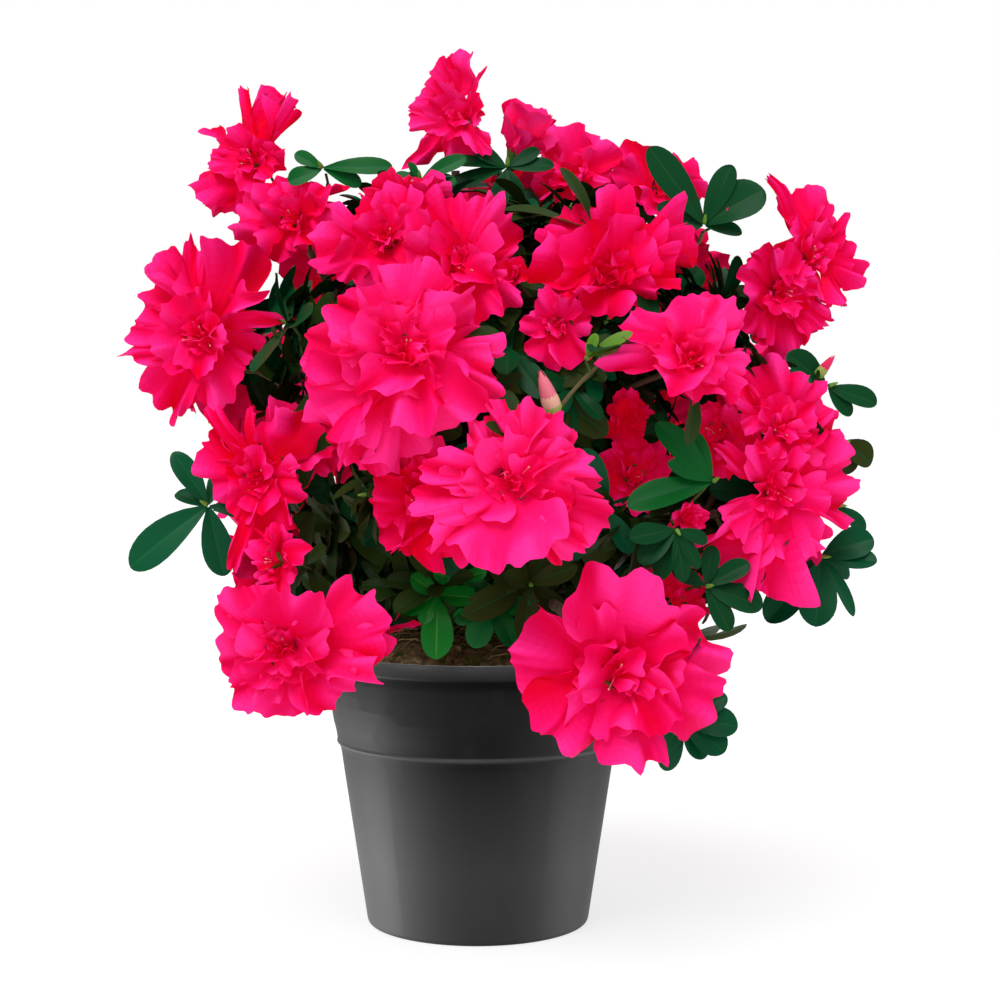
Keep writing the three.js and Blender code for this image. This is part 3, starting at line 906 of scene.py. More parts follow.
def leaf(leaves, random, base, way, up, length, width, look, curl=0.5, rows=7):
    """A leaf: a narrow base, widest past its middle, a rounded tip and a paler rib."""
    way = unit(way)
    up = unit(up - way * (up @ way))
    side = np.cross(way, up)
    s = np.linspace(0, 1, rows)[:, None]
    t = np.sin(s * math.pi / 2) ** 0.85
    v = np.array([BLADE_ACROSS])
    outline = t**0.72 * np.clip(1 - t**2.3, 0, 1) ** 0.55 / BLADE["widest"]
    half = width / 2 * np.clip(outline, BLADE["stalk"] * (1 - t), None)
    droop = length * curl * random.uniform(0.6, 1.4) * BLADE["droop"] * t**2
    fold = (BLADE_FOLD["rise"] * abs(v) - BLADE_FOLD["flatten"] * v**2) * half
    wave = BLADE["wave"] * width * np.sin(5 * t + random.uniform(0, 6)) * abs(v)
    twist = random.uniform(-BLADE["twist"], BLADE["twist"]) * t * v * half
    across = v * half
    rise = fold + wave + twist - droop
    grid = base + (length * t)[..., None] * way + across[..., None] * side + rise[..., None] * up
    blade, rib = LEAF_LOOKS.index(look), LEAF_LOOKS.index(RIB_OF[look])
    leaves.add(grid, np.array([[blade, blade, rib, blade, blade]] * (rows - 1)))


def hidden_by_bloom(point):
    """Whether a point lies among or in front of the petals of some bloom."""
    bases, axes, sizes = (np.array(column) for column in zip(*bloom_places))
    gap = point - bases
    ahead = np.einsum("ij,ij->i", gap, axes)
    aside = np.linalg.norm(gap - ahead[:, None] * axes, axis=1)
    opened = np.clip(ahead / (FUNNEL["opening"] * sizes), FUNNEL["throat"], 1)
    inside = aside < opened * FUNNEL["half"] * sizes
    return bool(np.any((ahead > -1) & (ahead < FUNNEL["reach"] * sizes) & inside))


def hangs_in_pot(point):
    """Whether a leaf's tip at a point would lie on the peat or the pot's rim."""
    floor = LEAF_FLOOR["front" if point[1] < LEAF_FLOOR["front_until"] else "back"]
    return point[2] < floor and math.hypot(point[0], point[1]) < LEAF_FLOOR["radius"]


def rosette(leaves, random, tip, axis, count, length, look, low=88, high=42):
    """Leaves round a twig's end by the golden angle: the outer ones wide open, the inner ones small.

    A leaf that would stand among a bloom's petals or lie on the peat is left out.
    """
    turn = basis(axis, random.uniform(0, 6)).T
    up = unit(axis) + [0, 0, ROSETTE["up"]]
    for i in range(count):
        share = i / max(1, count - 1)
        angle = i * GOLDEN_ANGLE + random.normal() * 0.15
        lean = math.radians(low + (high - low) * share + random.normal() * 8)
        out = math.sin(lean)
        way = np.array([math.cos(angle) * out, math.sin(angle) * out, math.cos(lean)]) @ turn
        reach = length * (ROSETTE["outer"] - ROSETTE["shorter"] * share) * random.uniform(0.85, 1.12)
        base = tip - unit(axis) * (1 - share) * ROSETTE["stagger"]
        among_petals = any(hidden_by_bloom(base + part * reach * way) for part in (0.9, 0.5))
        if not among_petals and not hangs_in_pot(base + reach * way):
            width = reach * random.uniform(*ROSETTE["slimness"])
            leaf(leaves, random, base, way, up, reach, width, look)


# Sprays that stand out against the sky or the blooms: the mass, the place of the twig's end in that
# mass's box, the twig's bearing and elevation, the blades' look, and each leaf as its angle clockwise
# from upright seen from the front, length, width and tilt towards the front.
SPRAYS = [
    ("left_rosette", (0.10, -0.30, 0.22), (-50, 30), "teal", [
        (-31, 24, 9, 5), (-68, 15, 7, -20), (234, 37, 15, 12), (166, 27, 12, 10), (98, 23, 9, -5),
        (20, 17, 8, -20),
    ]),
    ("right_rosette", (-0.20, -0.20, 0.25), (60, 0), "teal", [
        (68, 21, 13, 5), (92, 21, 10, 15), (146, 26, 7, 5), (187, 27, 15, 20), (221, 32, 14, 5),
        (120, 16, 7, -20),
    ]),
    ("right_top_rosette", (0.25, -0.20, -0.30), (10, 60), "dark", [
        (-35, 35, 12, 5), (24, 24, 10, 5), (57, 25, 16, 15), (-62, 20, 8, -20), (100, 14, 7, 10),
        (-100, 14, 7, 10),
    ]),
    ("right_edge_rosette", (-0.45, -0.10, 0.45), (70, 20), "dark", [
        (107, 20, 9, 0), (140, 14, 7, 5), (-50, 20, 11, 10), (-75, 17, 9, 10),
    ]),
    ("right_edge_rosette", (-0.10, 0.10, -0.75), (80, 0), "olive", [
        (120, 15, 12, 0), (160, 13, 9, 0),
    ]),
    ("right_rosette", (0.20, 0.20, 1.05), (80, 0), "teal", [(128, 15, 7, 0)]),
    ("low_right_rosette", (-0.30, -0.10, 0.0), (50, -20), "teal", [
        (95, 20, 12, 5), (125, 19, 12, 15), (60, 18, 9, 0), (150, 16, 9, 10), (-150, 12, 8, 5),
        (200, 20, 9, 0),
    ]),
    ("low_right_heart", (0.20, -0.20, 0.0), (40, 10), "dark", [
        (60, 18, 8, 0), (108, 22, 11, 0), (150, 18, 8, 10), (10, 15, 7, 0), (-60, 14, 7, 10),
    ]),
    ("low_right_heart", (-0.35, -0.50, 0.85), (20, -30), "dark", [
        (200, 19, 8, 10), (172, 19, 7, 15), (230, 18, 9, 15), (148, 16, 6, 10), (262, 18, 9, 20),
        (110, 12, 6, 0),
    ]),
    ("front_heart", (1.15, -0.50, 0.15), (30, 20), "green", [
        (-102, 32, 12, 12), (-42, 29, 10, 5), (-66, 18, 7, 15), (-22, 20, 7, 0),
    ]),
    ("front_tuft", (-0.10, -0.60, 0.30), (-10, 50), "bright", [
        (180, 23, 12, 18), (90, 15, 9, 25), (-115, 14, 7, 20), (-50, 12, 8, 20), (-150, 12, 6, 25),
        (40, 12, 7, 10),
    ]),
    ("front_tuft", (0.75, -0.50, 0.20), (20, 50), "green", [
        (150, 20, 9, 20), (100, 16, 8, 20), (-120, 15, 7, 20), (200, 18, 10, 15), (40, 14, 8, 10),
        (-40, 14, 8, 10),
    ]),
    ("top_left_heart", (-1.15, 0.10, 1.35), (-30, 40), "green", [
        (85, 27, 8, 0), (-60, 12, 6, 0), (110, 16, 7, 0), (-110, 14, 8, 10),
    ]),
    ("crown_top", (0.90, -0.30, -0.95), (10, 60), "dark", [
        (-80, 24, 6, 5), (-105, 26, 8, 0), (85, 18, 7, 5), (165, 16, 8, 10), (195, 18, 8, 15),
        (-60, 15, 7, 0), (60, 14, 6, 0),
    ]),
    ("top_left_heart", (0.35, -0.2, 1.10), (-10, 60), "green", [
        (-75, 10, 5, 0), (60, 20, 7, 0), (-30, 8, 4, 0), (90, 14, 6, 10),
    ]),
    ("left_heart", (-0.30, -0.60, -0.90), (-40, 10), "deep", [
        (175, 28, 12, 5), (200, 24, 11, 5), (140, 20, 10, 10), (60, 18, 9, 0),
    ]),
    ("right_heart", (1.0, -0.90, -0.75), (30, 20), "teal", [
        (115, 15, 8, 10), (-150, 15, 6, 15), (40, 14, 7, 0), (80, 20, 10, 0),
    ]),
    ("front_upper_heart", (0.34, -1.20, -0.04), (5, 10), "young", [(57, 18, 5, 5), (20, 9, 4, 10)]),
]
SPRAY_LEAF = {"curl": 0.3, "rows": 11}
SPRAY_BUD = 4.5
# Buds: the mass, place in its box, bearing and elevation, length, and looks of its three whorls.
BUDS = [
    ("front_upper_heart", (0.00, -0.95, -0.66), (-35, 58), 18, ("bud_rose", "bud_pale", "bud_scale")),
    ("right_edge_rosette", (-0.74, -0.20, 0.65), (63, 50), 11, ("bud_pink", "bud_scale", "sepal")),
    ("front_upper_right", (-1.05, -0.10, -0.30), (60, 30), 13, ("bud_scale", "bud_scale", "sepal")),
    ("right_top_rosette", (0.50, -0.10, -0.25), (30, 40), 8, ("bud_pink", "bud_pink", "sepal")),
    ("crown_top_right", (-0.80, -0.30, -0.90), (-60, 20), 8, ("bud_pink", "bud_pink", "sepal")),
]
# The leaves round a bloom's foot: their number and length, on a leafy bloom and on a small one, and
# the angles at which the outer and the inner ones lean out.
COLLAR = {"count": 6, "small_count": 4, "length": (19, 27), "small_share": 0.7, "lean": (98, 66)}
COLLAR_LOOKS = ["deep", "dark", "dark", "teal", "olive"]
BARE = {18, 20, 21, 22}  # the blooms that stand clear of any leaf, by their seeds
# How many twigs fill a mass of leaves, a mass of blossom, the tuft in the front, and the crown.
FILL = {"outer": 14, "inner": 7, "tuft": 4, "inside": 150}
FILL_LENGTH = (19, 29)
FILL_LOOKS = {
    "outer": ["olive", "deep", "deep", "dark", "dark", "teal"],
    "inner": ["olive", "olive", "deep", "deep", "dark"],
    "inside": ["brown", "deep", "olive", "olive", "deep", "dark"],
    "tuft": ["teal", "green", "bright"],
}
CROWN_INSIDE = np.array([62.0, 62.0, 78.0])
LEAF_BUDS = {"share": 0.35, "length": (3.0, 5.0)}  # how many of those twigs end in a bud
SKIRT = {"count": 90, "radius": (14, 66), "height": (124, 172)}


# ---------------------------------------------------------------- skeleton


def limb_points(node):
    """The vertices of a CAD limb, in mm."""
    return np.array([v.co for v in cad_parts[node].data.vertices], float) / MM


def stem_path():
    """The stem's line: from the middle of its cut foot to the middle of its top."""
    points = limb_points("stem")
    low, high = points[:, 2].min(), points[:, 2].max()
    foot = points[points[:, 2] < low + 0.5].mean(0)
    top = points[points[:, 2] > high - 2].mean(0)
    t = np.linspace(0, 1, int((high - low) / STEM["step"]))[:, None]
    bow = np.array([-0.3 * (top[0] - foot[0]), 0, 0])
    return foot * (1 - t) + top * t + 4 * t * (1 - t) * bow


def bough_path(node, root):
    """A bough's line: the quadratic curve from the fork that fits the CAD limb best."""
    points = limb_points(node) - root
    reach = np.linalg.norm(points, axis=1)
    t = reach / reach.max()
    a, b = np.linalg.lstsq(np.column_stack([t, t * t]), points, rcond=None)[0]
    s = np.linspace(0, 1, int(reach.max() / LIMB["step"]))[:, None]
    return root + s * a + s * s * b


# What decides the joint that a twig grows from, in mm: its distance from there, plus a share of the
# way from there to the root, plus a cost for turning back at its start and at its end, and one for
# starting almost where it ends.
SEAT = {"to_root": 0.2, "start_turn": 40, "end_turn": 30, "too_near": 100, "nearest": 5}


class Skeleton:
    """Joints of the stem, boughs and twigs, each with its parent and the way it grows."""

    def __init__(self):
        self.points, self.ways, self.parents, self.lengths, self.chains = [], [], [], [], []

    def add(self, path, parent):
        """A chain of joints that starts at the joint parent, which may be None."""
        chain = [] if parent is None else [parent]
        for i, point in enumerate(path):
            last = chain[-1] if chain else None
            way = path[min(i + 1, len(path) - 1)] - path[max(i - 1, 0)]
            self.points.append(point)
            self.ways.append(unit(way))
            self.parents.append(-1 if last is None else last)
            gap = 0 if last is None else np.linalg.norm(point - self.points[last])
            self.lengths.append(gap if last is None else self.lengths[last] + gap)
            chain.append(len(self.points) - 1)
        self.chains.append(chain)

    def seat(self, target, way):
        """The joint that a twig to target grows from: near, low on the plant, and not turning back."""
        gaps = target - np.array(self.points)
        distance = np.linalg.norm(gaps, axis=1)
        ahead = np.einsum("ij,ij->i", gaps, np.array(self.ways)) / np.maximum(distance, 1e-6)
        final = gaps @ way / np.maximum(distance, 1e-6)
        turns = SEAT["start_turn"] * np.clip(0.25 - ahead, 0, None)
        turns += SEAT["end_turn"] * np.clip(0.1 - final, 0, None)
        cost = distance + SEAT["to_root"] * np.array(self.lengths) + turns
        cost[distance < SEAT["nearest"]] += SEAT["too_near"]
        return int(np.argmin(cost))

    def route(self, random, target, way):
        """The line of a curved twig to the target, which it reaches along way, and where it starts."""
        start = self.seat(target, way)
        origin = self.points[start]
        first = unit(0.55 * self.ways[start] + unit(target - origin))
        path = curve(origin, target, first, way * 0.8, TWIG["step"])
        t = np.linspace(0, 1, len(path))[:, None]
        bend = np.sin(math.pi * t) * random.normal(size=3) * 0.03 * np.linalg.norm(target - origin)
        return (path + bend)[1:], start

    def loads(self):
        """How many twig ends each joint carries."""
        load = np.zeros(len(self.points))
        for chain in self.chains:
            load[chain[-1]] += 1
        for i in range(len(self.points) - 1, -1, -1):
            if self.parents[i] >= 0:
                load[self.parents[i]] += load[i]
        return load


# ---------------------------------------------------------------- the plant is grown

blossom_sectors = {}
trims = Sheets()
leaf_parts = {"leaves_front": Sheets(), "leaves_back": Sheets()}
targets = []  # the point and way of every twig's end
bloom_places = []  # the base, axis and size of every bloom


# Where the crown is cut into pieces: the front's leaves, the low, back and side blossom.
CUTS = {"leaves_front": -20, "low": 215, "back": 20, "side": 62}


def leaf_part(point):
    return leaf_parts["leaves_front" if point[1] < CUTS["leaves_front"] else "leaves_back"]


def sector_of(name):
    """The piece of blossom that a mass's blooms go into."""
    middle, _ = mass_box(name)
    out = middle - heart
    level = "low" if middle[2] < CUTS["low"] else "high"
    if middle[1] > CUTS["back"]:
        return f"blossom_back_{level}"
    if abs(out[0]) > CUTS["side"]:
        return "blossom_right" if out[0] > 0 else "blossom_left"
    return f"blossom_front_{level}"


def bloom_place(row):
    """A bloom's base, axis and size."""
    name, offset, bearing, elevation, size = row[:5]
    return in_mass(name, offset), direction(bearing, elevation), size


def grow_blooms():
    """Every bloom with its pedicel and the collar of leaves at its foot."""
    rows = BLOOMS + around_blooms()
    bloom_places.extend(bloom_place(row) for row in rows)
    for row, place in zip(rows, bloom_places):
        name, style, shade, seed = row[0], *row[5:]
        base, axis, size = place
        petals, shown = blossom_sectors.setdefault(sector_of(name), (Sheets(), set()))
        shown.add(name)
        bloom(petals, trims, place, style, shade, seed)
        foot = base - PEDICEL["length"] * axis
        targets.append((foot, axis))
        random = seeded(3, seed)
        path = curve(foot, base - 0.5 * axis, axis, axis, PEDICEL["step"])
        tube(trims, path, PEDICEL["radius"], PEDICEL["sides"], LOOK["calyx"])
        look = random.choice(COLLAR_LOOKS)
        leafy = size > LEAFY_SIZE
        count = 0 if seed in BARE else COLLAR["count" if leafy else "small_count"]
        reach = random.uniform(*COLLAR["length"]) * (1 if leafy else COLLAR["small_share"])
        rosette(leaf_part(foot), random, foot, axis, count, reach, look, *COLLAR["lean"])


def grow_sprays():
    """The leaves that are set one by one, each spray round a small bud."""
    for number, (name, offset, (bearing, elevation), look, blades) in enumerate(SPRAYS):
        random = seeded(4, number)
        tip = in_mass(name, offset)
        axis = direction(bearing, elevation)
        targets.append((tip - 3 * axis, axis))
        for clock, length, width, tilt in blades:
            c, t = math.radians(clock), math.radians(tilt)
            way = np.array([math.sin(c) * math.cos(t), -math.sin(t), math.cos(c) * math.cos(t)])
            up = np.array([random.normal() * 0.12, -1.0, 0.55])
            leaf(leaf_part(tip), random, tip + 0.5 * way, way, up, length, width, look, **SPRAY_LEAF)
        bud(trims, random, tip, axis, SPRAY_BUD, LEAF_BUD)


def grow_buds():
    """The buds that are set one by one, each on a twig."""
    for number, (name, offset, (bearing, elevation), length, looks) in enumerate(BUDS):
        axis = direction(bearing, elevation)
        base = in_mass(name, offset)
        bud(trims, seeded(5, number), base, axis, length, looks)
        targets.append((base - 0.5 * axis, axis))


# Rosettes deep in the crown where the sky would show through: the mass and the place in its box.
SCREENS = [
    ("right_front_low", (-0.85, 0.90, 0.15)),
    ("right_front_low", (-1.20, 0.90, 0.35)),
    ("right_front_low", (-0.60, 0.95, -0.10)),
    ("back_low_2", (-0.70, -0.90, -0.80)),
    ("back_low_2", (-0.20, -0.90, -0.80)),
    ("back_low_3", (0.60, -0.80, -0.60)),
    ("back_low_3", (0.00, -0.95, -0.50)),
]


def fill_spots():
    """Where the rule puts more rosettes: through the masses and the crown's inside."""
    spots = []
    leafy = {row[0] for row in SPRAYS} - {row[0] for row in BLOOMS}
    bare = {row[0] for row in BLOOMS if row[7] in BARE}
    for number, name in enumerate(masses):
        random = seeded(6, number)
        middle, half = mass_box(name)
        out = unit(middle - heart)
        is_leafy = name in leafy or "heart" in name or "tuft" in name
        outward, low, high = (0.5, 0.35, 0.85) if is_leafy else (-0.9, 0.3, 0.8)
        looks = "tuft" if name == "front_tuft" else "outer" if is_leafy else "inner"
        count = 0 if name in bare or name.endswith("rosette") else FILL[looks]
        for _ in range(count):
            way = unit(random.normal(size=3) + outward * out)
            reach = random.uniform(low, high)
            spots.append((middle + half * way * reach, unit(way + 1.4 * out + [0, 0, 0.3]), looks))
    random = seeded(7)
    for _ in range(FILL["inside"]):
        way = unit(random.normal(size=3) + [0, -0.35, 0])
        point = heart + CROWN_INSIDE * way * random.uniform(0.55, 1.0)
        spots.append((point, unit(way + [0, 0, 0.4]), "inside" if way[2] < 0.2 else "inner"))
    for _ in range(SKIRT["count"]):
        angle = random.uniform(0, 2 * math.pi)
        way = np.array([math.cos(angle), math.sin(angle), 0.0])
        point = way * random.uniform(*SKIRT["radius"]) + [0, 0, random.uniform(*SKIRT["height"])]
        spots.append((point, unit(way + [0, 0, random.uniform(-0.3, 0.6)]), "inner"))
    for name, offset in SCREENS:
        spots.append((in_mass(name, offset), direction(0, 20), "inside"))
    return spots


def grow_twigs():
    """The stem, boughs and twigs as one skeleton, with a rosette on each twig that fills the crown.

    A twig that would run through a bloom isn't grown.
    """
    skeleton = Skeleton()
    stem = stem_path()
    skeleton.add(stem, None)
    fork = len(stem) - 1
    bough_lines = [bough_path(name, stem[-1] - [0, 0, LIMB["fork_depth"]]) for name in boughs]
    for line in bough_lines:
        skeleton.add(line[LIMB["inside_stem"]:], fork)
    limb_chains = len(skeleton.chains)
    order = sorted(targets, key=lambda target: np.linalg.norm(target[0] - stem[-1]))
    for number, (point, way) in enumerate(order):
        skeleton.add(*skeleton.route(seeded(9, number), point, way))
    spots = sorted(fill_spots(), key=lambda spot: np.linalg.norm(spot[0] - stem[-1]))
    for number, (tip, axis, looks) in enumerate(spots):
        random = seeded(8, number)
        path, start = skeleton.route(random, tip - 3 * axis, axis)
        if any(hidden_by_bloom(point) for point in [*path, tip + 4 * axis]):
            continue
        skeleton.add(path, start)
        count, length = random.integers(6, 9), random.uniform(*FILL_LENGTH)
        rosette(leaf_part(tip), random, tip, axis, count, length, random.choice(FILL_LOOKS[looks]))
        if random.random() < LEAF_BUDS["share"]:
            bud(trims, random, tip, axis, random.uniform(*LEAF_BUDS["length"]), LEAF_BUD)
    return skeleton, limb_chains, stem, bough_lines


BARK_DEPTH = {"stem": 0.22, "bough": 0.20}
# A twig's skin, from young to old, and the mean radius at which it turns to the next one.
TWIG_SKINS = [
    ("twig_green", (0.060, 0.120, 0.020), 0.6),
    ("twig_tan", (0.110, 0.085, 0.030), 0.7),
    ("twig_brown", (0.085, 0.048, 0.024), 0.8),
    ("twig_old", (0.060, 0.040, 0.026), 0.85),
]
TWIG_AGES = [0.7, 1.0, 1.35]


def bark_relief(depth, seed):
    """Furrows along a limb, cut by noise that is stretched upwards."""

    def relief(grid):
        flat = grid.reshape(-1, 3)
        cuts = [
            noise.noise(Vector((x * 0.55 + seed, y * 0.55, z * 0.13)))
            + 0.5 * noise.noise(Vector((x * 1.3, y * 1.3 + seed, z * 0.5)))
            for x, y, z in flat
        ]
        return 1 + depth * np.array(cuts).reshape(grid.shape[:2])

    return relief


def build_wood(skeleton, limb_chains, stem, bough_lines):
    """The stem and boughs with their bark, and the twigs, thicker the more ends they carry."""
    bark = Sheets()
    t = np.linspace(0, 1, len(stem))
    taper = STEM["foot_radius"] + (STEM["tip_radius"] - STEM["foot_radius"]) * t
    flare = (STEM["flare_radius"] - STEM["foot_radius"]) * np.exp(-9 * t)
    crown = np.concatenate([stem, stem[-1:] + [[0, 0, 1.2]]])
    relief = bark_relief(BARK_DEPTH["stem"], 3.0)
    tube(bark, crown, np.append(taper + flare, 1.0), STEM["sides"], 0, relief)
    for number, line in enumerate(bough_lines):
        radii = np.linspace(LIMB["root_radius"], LIMB["tip_radius"], len(line))
        tube(bark, line, radii, LIMB["sides"], 0, bark_relief(BARK_DEPTH["bough"], 7.0 * number))
    mesh_piece("bark", bark, [bark_skin()], ["stem", *boughs])

    twigs = Sheets()
    loads = skeleton.loads()
    for chain in skeleton.chains[limb_chains:]:
        path = np.array([skeleton.points[i] for i in chain])
        load = np.array([loads[i] for i in chain[1:]])
        load = np.concatenate([load[:1], load])
        radii = np.clip(TWIG["tip_radius"] * load ** TWIG["growth"], None, TWIG["largest"])
        tube(twigs, path, radii, TWIG["sides"], int(np.searchsorted(TWIG_AGES, radii.mean())))
    mesh_piece("twigs", twigs, [plain(*look, 0.3) for look in TWIG_SKINS])


# ---------------------------------------------------------------- pot and peat


def rounded(profile, reach, steps=4):
    """A profile of [radius, height] points with each corner turned into a short curve."""
    points = np.array(profile, float)
    line = [points[0]]
    for before, corner, after in zip(points[:-2], points[1:-1], points[2:]):
        into, out = before - corner, after - corner
        cut_in = min(reach, 0.45 * np.linalg.norm(into))
        cut_out = min(reach, 0.45 * np.linalg.norm(out))
        a, b = corner + unit(into) * cut_in, corner + unit(out) * cut_out
        for t in np.linspace(0, 1, steps):
            line.append((1 - t) ** 2 * a + 2 * t * (1 - t) * corner + t**2 * b)
    line.append(points[-1])
    return np.array(line)


def lathe(sheets, profile, segments):
    """A profile of radius and height turned about the pot's axis."""
    angle = np.linspace(0, 2 * math.pi, segments, endpoint=False)
    r, z = profile[:, 0][:, None], profile[:, 1][:, None]
    grid = np.stack([r * np.cos(angle), r * np.sin(angle), z + 0 * angle], axis=-1)
    sheets.add(grid[::-1], 0, closed=True)


def inner_radius(height):
    """The radius of the pot's inside at a height above the ledge."""
    rise = POT["height"] - POT["rim_height"] - POT["body_top_height"]
    slope = (POT["rim_radius"] - POT["rim_step"] - POT["body_top_radius"]) / rise
    return POT["body_top_radius"] + slope * (height - POT["body_top_height"]) - POT["wall"]


def build_pot():
    """The pot's shell: up its outside, over the rim and down its inside."""
    p = POT
    rim_foot = p["height"] - p["rim_height"]
    lip = p["rim_radius"] - p["lip_width"]
    lip_foot = p["height"] - p["lip_inner_height"]
    profile = [
        [0.0, 0.0],
        [p["foot_radius"] - p["foot_fillet"], 0.0],
        [p["foot_radius"] - 0.25 * p["foot_fillet"], 0.28 * p["foot_fillet"]],
        [p["foot_radius"] + 0.1, p["foot_fillet"]],
        *p["ledge"],
        *p["collar"],
        [p["rim_radius"] - p["rim_step"], rim_foot - p["step_drop"]],
        [p["rim_radius"] - p["rim_step"], rim_foot],
        [p["rim_radius"] - 0.3, rim_foot],
        *([p["rim_radius"] - back, p["height"] - down] for back, down in p["rim_curve"]),
        [lip, p["height"] - p["lip_drop"]],
        [lip, lip_foot],
        [inner_radius(lip_foot), lip_foot - 1],
        [p["body_top_radius"] - p["wall"], p["body_top_height"]],
        [p["foot_radius"] - p["wall"], p["wall"] + p["foot_fillet"]],
        [0.0, p["wall"]],
    ]
    pot = Sheets()
    lathe(pot, rounded(profile, p["rounding"]), p["segments"])
    mesh_piece("pot_shell", pot, [pot_plastic()], ["pot"], weld=0.001)


def peat_height(x, y):
    """The peat's top: a low mound with lumps."""
    mound = np.interp(math.hypot(x, y), *zip(*PEAT["mound"]))
    return mound + PEAT["lumps"] * noise.fractal(Vector((x, y, 0)) * 0.09, 0.8, 2.1, 5)


def build_peat():
    """The peat that fills the pot, with the litter on it."""
    peat = Sheets()
    edge, gap = PEAT["edge_radius"], PEAT["gap"]
    radii = edge * np.linspace(0, 1, PEAT["rings"])[:, None]
    angles = np.linspace(0, 2 * math.pi, PEAT["sectors"], endpoint=False)[None, :]
    x, y = radii * np.cos(angles), radii * np.sin(angles)
    top = np.stack([x, y, np.vectorize(peat_height)(x, y)], axis=-1)
    peat.add(top, 0, closed=True)
    side = [
        [0.0, POT["wall"] + gap],
        [POT["foot_radius"] - POT["wall"] - 1.4, POT["wall"] + POT["foot_fillet"] + gap],
        [POT["body_top_radius"] - POT["wall"] - gap, POT["body_top_height"]],
        [edge, PEAT["side_top"]],
        [edge, float(top[-1, :, 2].mean())],
    ]
    lathe(peat, np.array(side), PEAT["sectors"])

    random = seeded(10)
    for scatter, count in zip((crumb, fibre, moss_tuft), LITTER.values()):
        for _ in range(count):
            scatter(peat, random)
    looks = [
        peat_soil(),
        plain("fibre_pale", (0.55, 0.42, 0.22), 0.8, 0.2),
        plain("fibre_brown", (0.22, 0.15, 0.07), 0.85, 0.2),
        plain("moss_green", (0.080, 0.130, 0.014), 0.85, 0.2),
        plain("moss_gold", (0.220, 0.190, 0.035), 0.85, 0.2),
    ]
    mesh_piece("peat_top", peat, looks, ["root_ball"], weld=0.001)


def on_peat(random, edge=0.97):
    """A random point on the peat's top."""
    r = PEAT["edge_radius"] * edge * math.sqrt(random.random())
    a = random.uniform(0, 2 * math.pi)
    x, y = r * math.cos(a), r * math.sin(a)
    return np.array([x, y, peat_height(x, y)])


def crumb(peat, random):
    """A lump of peat or bark chip, half sunk."""
    size = random.uniform(0.7, 2.4)
    lat = np.linspace(0.02, math.pi - 0.02, 5)[:, None]
    lon = np.linspace(0, 2 * math.pi, 7, endpoint=False)[None, :]
    r = size * (1 + random.normal(size=(5, 7)) * 0.16)
    x, y, z = np.sin(lat) * np.cos(lon), np.sin(lat) * np.sin(lon), np.cos(lat) + 0 * lon
    ball = np.stack([x * r, y * r, z * r * 0.7], axis=-1)
    turn = basis(random.normal(size=3)).T
    peat.add(ball @ turn + on_peat(random), random.choice([0, 0, 0, 0, 2]), closed=True)


def fibre(peat, random):
    """A root or moss fibre that loops up out of the peat and back."""
    start = on_peat(random, 0.93)
    way, bow = random.uniform(0, 2 * math.pi), random.normal() * 0.5
    length, lift = random.uniform(6, 24), random.uniform(0.4, 3.2)
    t = np.linspace(0, 1, 9)
    heading = way + bow * 2 * t
    x = start[0] + np.cumsum(np.cos(heading)) * length / 9
    y = start[1] + np.cumsum(np.sin(heading)) * length / 9
    far = np.maximum(np.hypot(x, y) / (PEAT["edge_radius"] * 0.98), 1)
    x, y = x / far, y / far
    z = np.array([peat_height(a, b) for a, b in zip(x, y)]) + lift * np.sin(math.pi * t) ** 0.7 - 0.2
    tube(peat, np.column_stack([x, y, z]), random.uniform(0.14, 0.36), 5, random.choice([1, 1, 2]))


def moss_tuft(peat, random):
    """A few short pointed shoots from one spot."""
    foot = on_peat(random)
    tone = random.choice([3, 3, 4])
    for _ in range(SHOOTS):
        way = unit(random.normal(size=3) * [0.6, 0.6, 0.2] + [0, 0, 0.9])
        start = foot + random.normal(size=3) * [0.9, 0.9, 0]
        path = start + np.linspace(-0.3, random.uniform(1.4, 3.4), 4)[:, None] * way
        tube(peat, path, [0.35, 0.42, 0.28, 0.03], 4, tone)


# ---------------------------------------------------------------- everything is put together

build_pot()
build_peat()
grow_blooms()
grow_sprays()
grow_buds()
build_wood(*grow_twigs())

petal_looks = petal_materials()
for name, (sheets, nodes) in sorted(blossom_sectors.items()):
    blossom_nodes = [f"mass_{n}" for n in sorted(nodes)]
    mesh_piece(name, sheets, petal_looks, blossom_nodes)

leaf_looks = leaf_materials()
shown = set().union(*(nodes for _, nodes in blossom_sectors.values()))
for name, sheets in leaf_parts.items():
    nodes = [f"mass_{n}" for n in masses if n not in shown and leaf_part(mass_box(n)[0]) is sheets]
    mesh_piece(name, sheets, leaf_looks, nodes)

trim_looks = [plain(f"trim_{name}", *look) for name, look in TRIM_LOOKS.items()]
mesh_piece("bloom_trims", trims, trim_looks)

# ---------------------------------------------------------------- floor, lights and camera


def floor_white():
    """A pale floor that glows a little, which keeps the shadows on it faint."""
    return plain("floor_white", (0.33, 0.33, 0.33), 0.9, 0.1, glow=(1, 1, 1), strength=0.73)


def sun(name, bearing, elevation, strength, softness):
    """A white sun from a bearing and elevation, its softness the angle it fills in degrees."""
    lamp = bpy.data.lights.new(name, "SUN")
    lamp.energy, lamp.angle = strength, math.radians(softness)
    item = bpy.data.objects.new(name, lamp)
    item.rotation_euler = Vector(direction(bearing, elevation)).to_track_quat("Z", "Y").to_euler()
    bpy.context.scene.collection.objects.link(item)


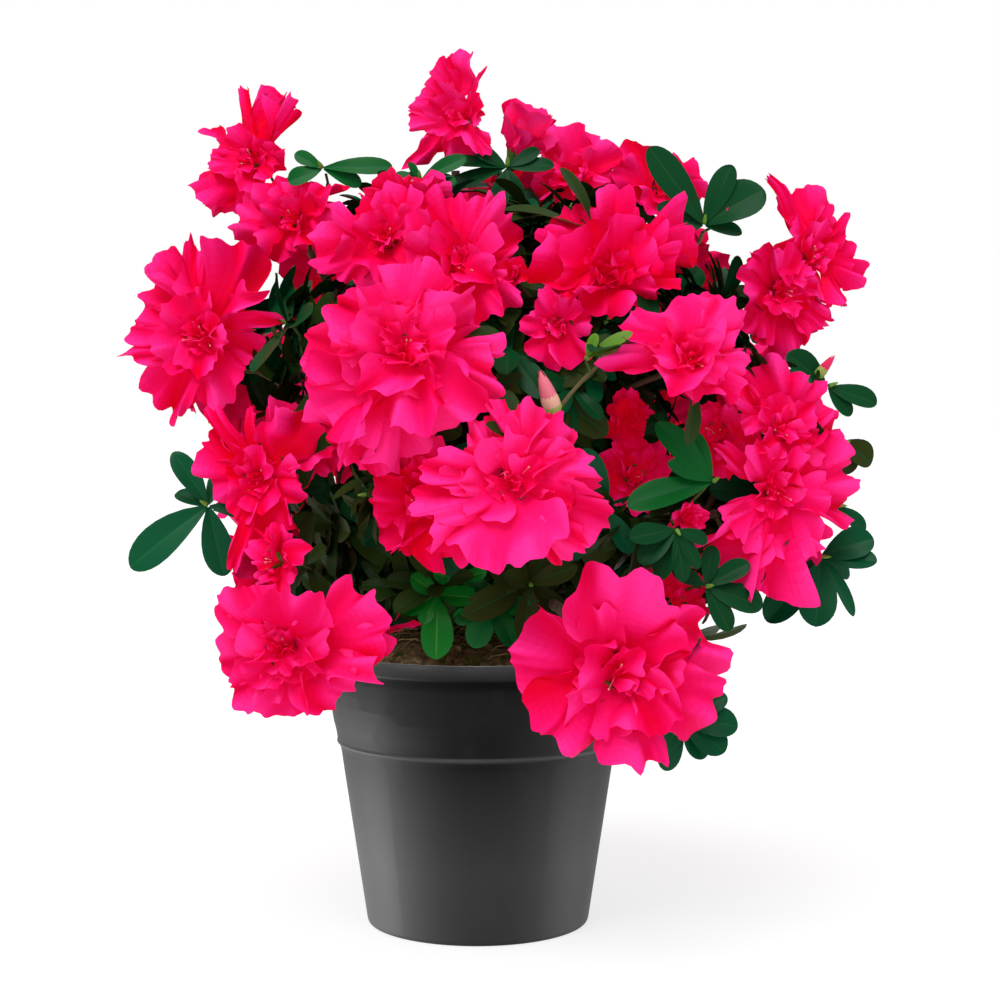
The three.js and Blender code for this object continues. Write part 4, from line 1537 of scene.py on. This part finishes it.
def panel(name, place, aim, size, power, receiver):
    """A soft rectangular light that reaches one piece only, and that no other piece blocks."""
    lamp = bpy.data.lights.new(name, "AREA")
    lamp.shape, lamp.energy = "RECTANGLE", power
    lamp.size, lamp.size_y = size
    item = bpy.data.objects.new(name, lamp)
    item.location = place
    item.rotation_euler = (Vector(place) - Vector(aim)).to_track_quat("Z", "Y").to_euler()
    lit = bpy.data.collections.new(f"{name}_lit")
    lit.objects.link(bpy.data.objects[receiver])
    item.light_linking.receiver_collection = lit
    item.light_linking.blocker_collection = lit
    bpy.context.scene.collection.objects.link(item)


FLOOR_REACH = 30  # in metres, as are the lights' places and sizes
# The pot's soft lights: place, the point aimed at, size and power.
PANELS = {
    "left_sheen": ((-0.24, -0.01, -0.05), (0, 0, 0.05), (0.32, 0.12), 3.4),
    "right_sheen": ((0.24, -0.03, -0.05), (0, 0, 0.05), (0.34, 0.12), 1.6),
    "top_sheen": ((0.0, -0.08, 0.45), (0, 0, 0.10), (0.40, 0.35), 28.0),
}


def build_studio():
    """The floor, the sun, the pot's panels, and an even surround behind a white backdrop."""
    floor = bpy.data.meshes.new("floor")
    corners = [(-1, -1, 0), (1, -1, 0), (1, 1, 0), (-1, 1, 0)]
    corners = [tuple(FLOOR_REACH * share for share in corner) for corner in corners]
    floor.from_pydata(corners, [], [(0, 1, 2, 3)])
    floor.materials.append(floor_white())
    item = bpy.data.objects.new("floor", floor)
    bpy.context.scene.collection.objects.link(item)
    item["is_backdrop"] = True

    sun("key", -20, 57, 2.5, 50)
    for name, settings in PANELS.items():
        panel(name, *settings, "pot_shell")

    world = bpy.data.worlds.new("studio")
    bpy.context.scene.world = world
    world.use_nodes = True
    nodes, links = world.node_tree.nodes, world.node_tree.links
    surround = nodes["Background"]
    surround.inputs["Strength"].default_value = 0.50
    backdrop = nodes.new("ShaderNodeBackground")
    for shade in (surround, backdrop):
        shade.inputs["Color"].default_value = (1, 1, 1, 1)
    seen = nodes.new("ShaderNodeLightPath")
    mixer = nodes.new("ShaderNodeMixShader")
    links.new(seen.outputs["Is Camera Ray"], mixer.inputs["Fac"])
    links.new(surround.outputs["Background"], mixer.inputs[1])
    links.new(backdrop.outputs["Background"], mixer.inputs[2])
    links.new(mixer.outputs["Shader"], nodes["World Output"].inputs["Surface"])


# The camera looks along +Y and a little down, level with the crown's middle.
CAMERA = {"lens": 70, "place": (0.0089, -0.782, 0.1995), "pitch": -2.18}


def place_camera():
    """The camera in front of the plant."""
    view = bpy.data.cameras.new("camera")
    view.lens, view.sensor_width = CAMERA["lens"], 36
    item = bpy.data.objects.new("camera", view)
    item.location = CAMERA["place"]
    item.rotation_euler = (math.radians(90 + CAMERA["pitch"]), 0, 0)
    bpy.context.scene.collection.objects.link(item)
    bpy.context.scene.camera = item


build_studio()
place_camera()
bpy.context.scene.view_settings.view_transform = "Standard"

boxes = {name: [list(corner) for corner in box] for name, box in {"cad": cad_box, "visual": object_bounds()}.items()}
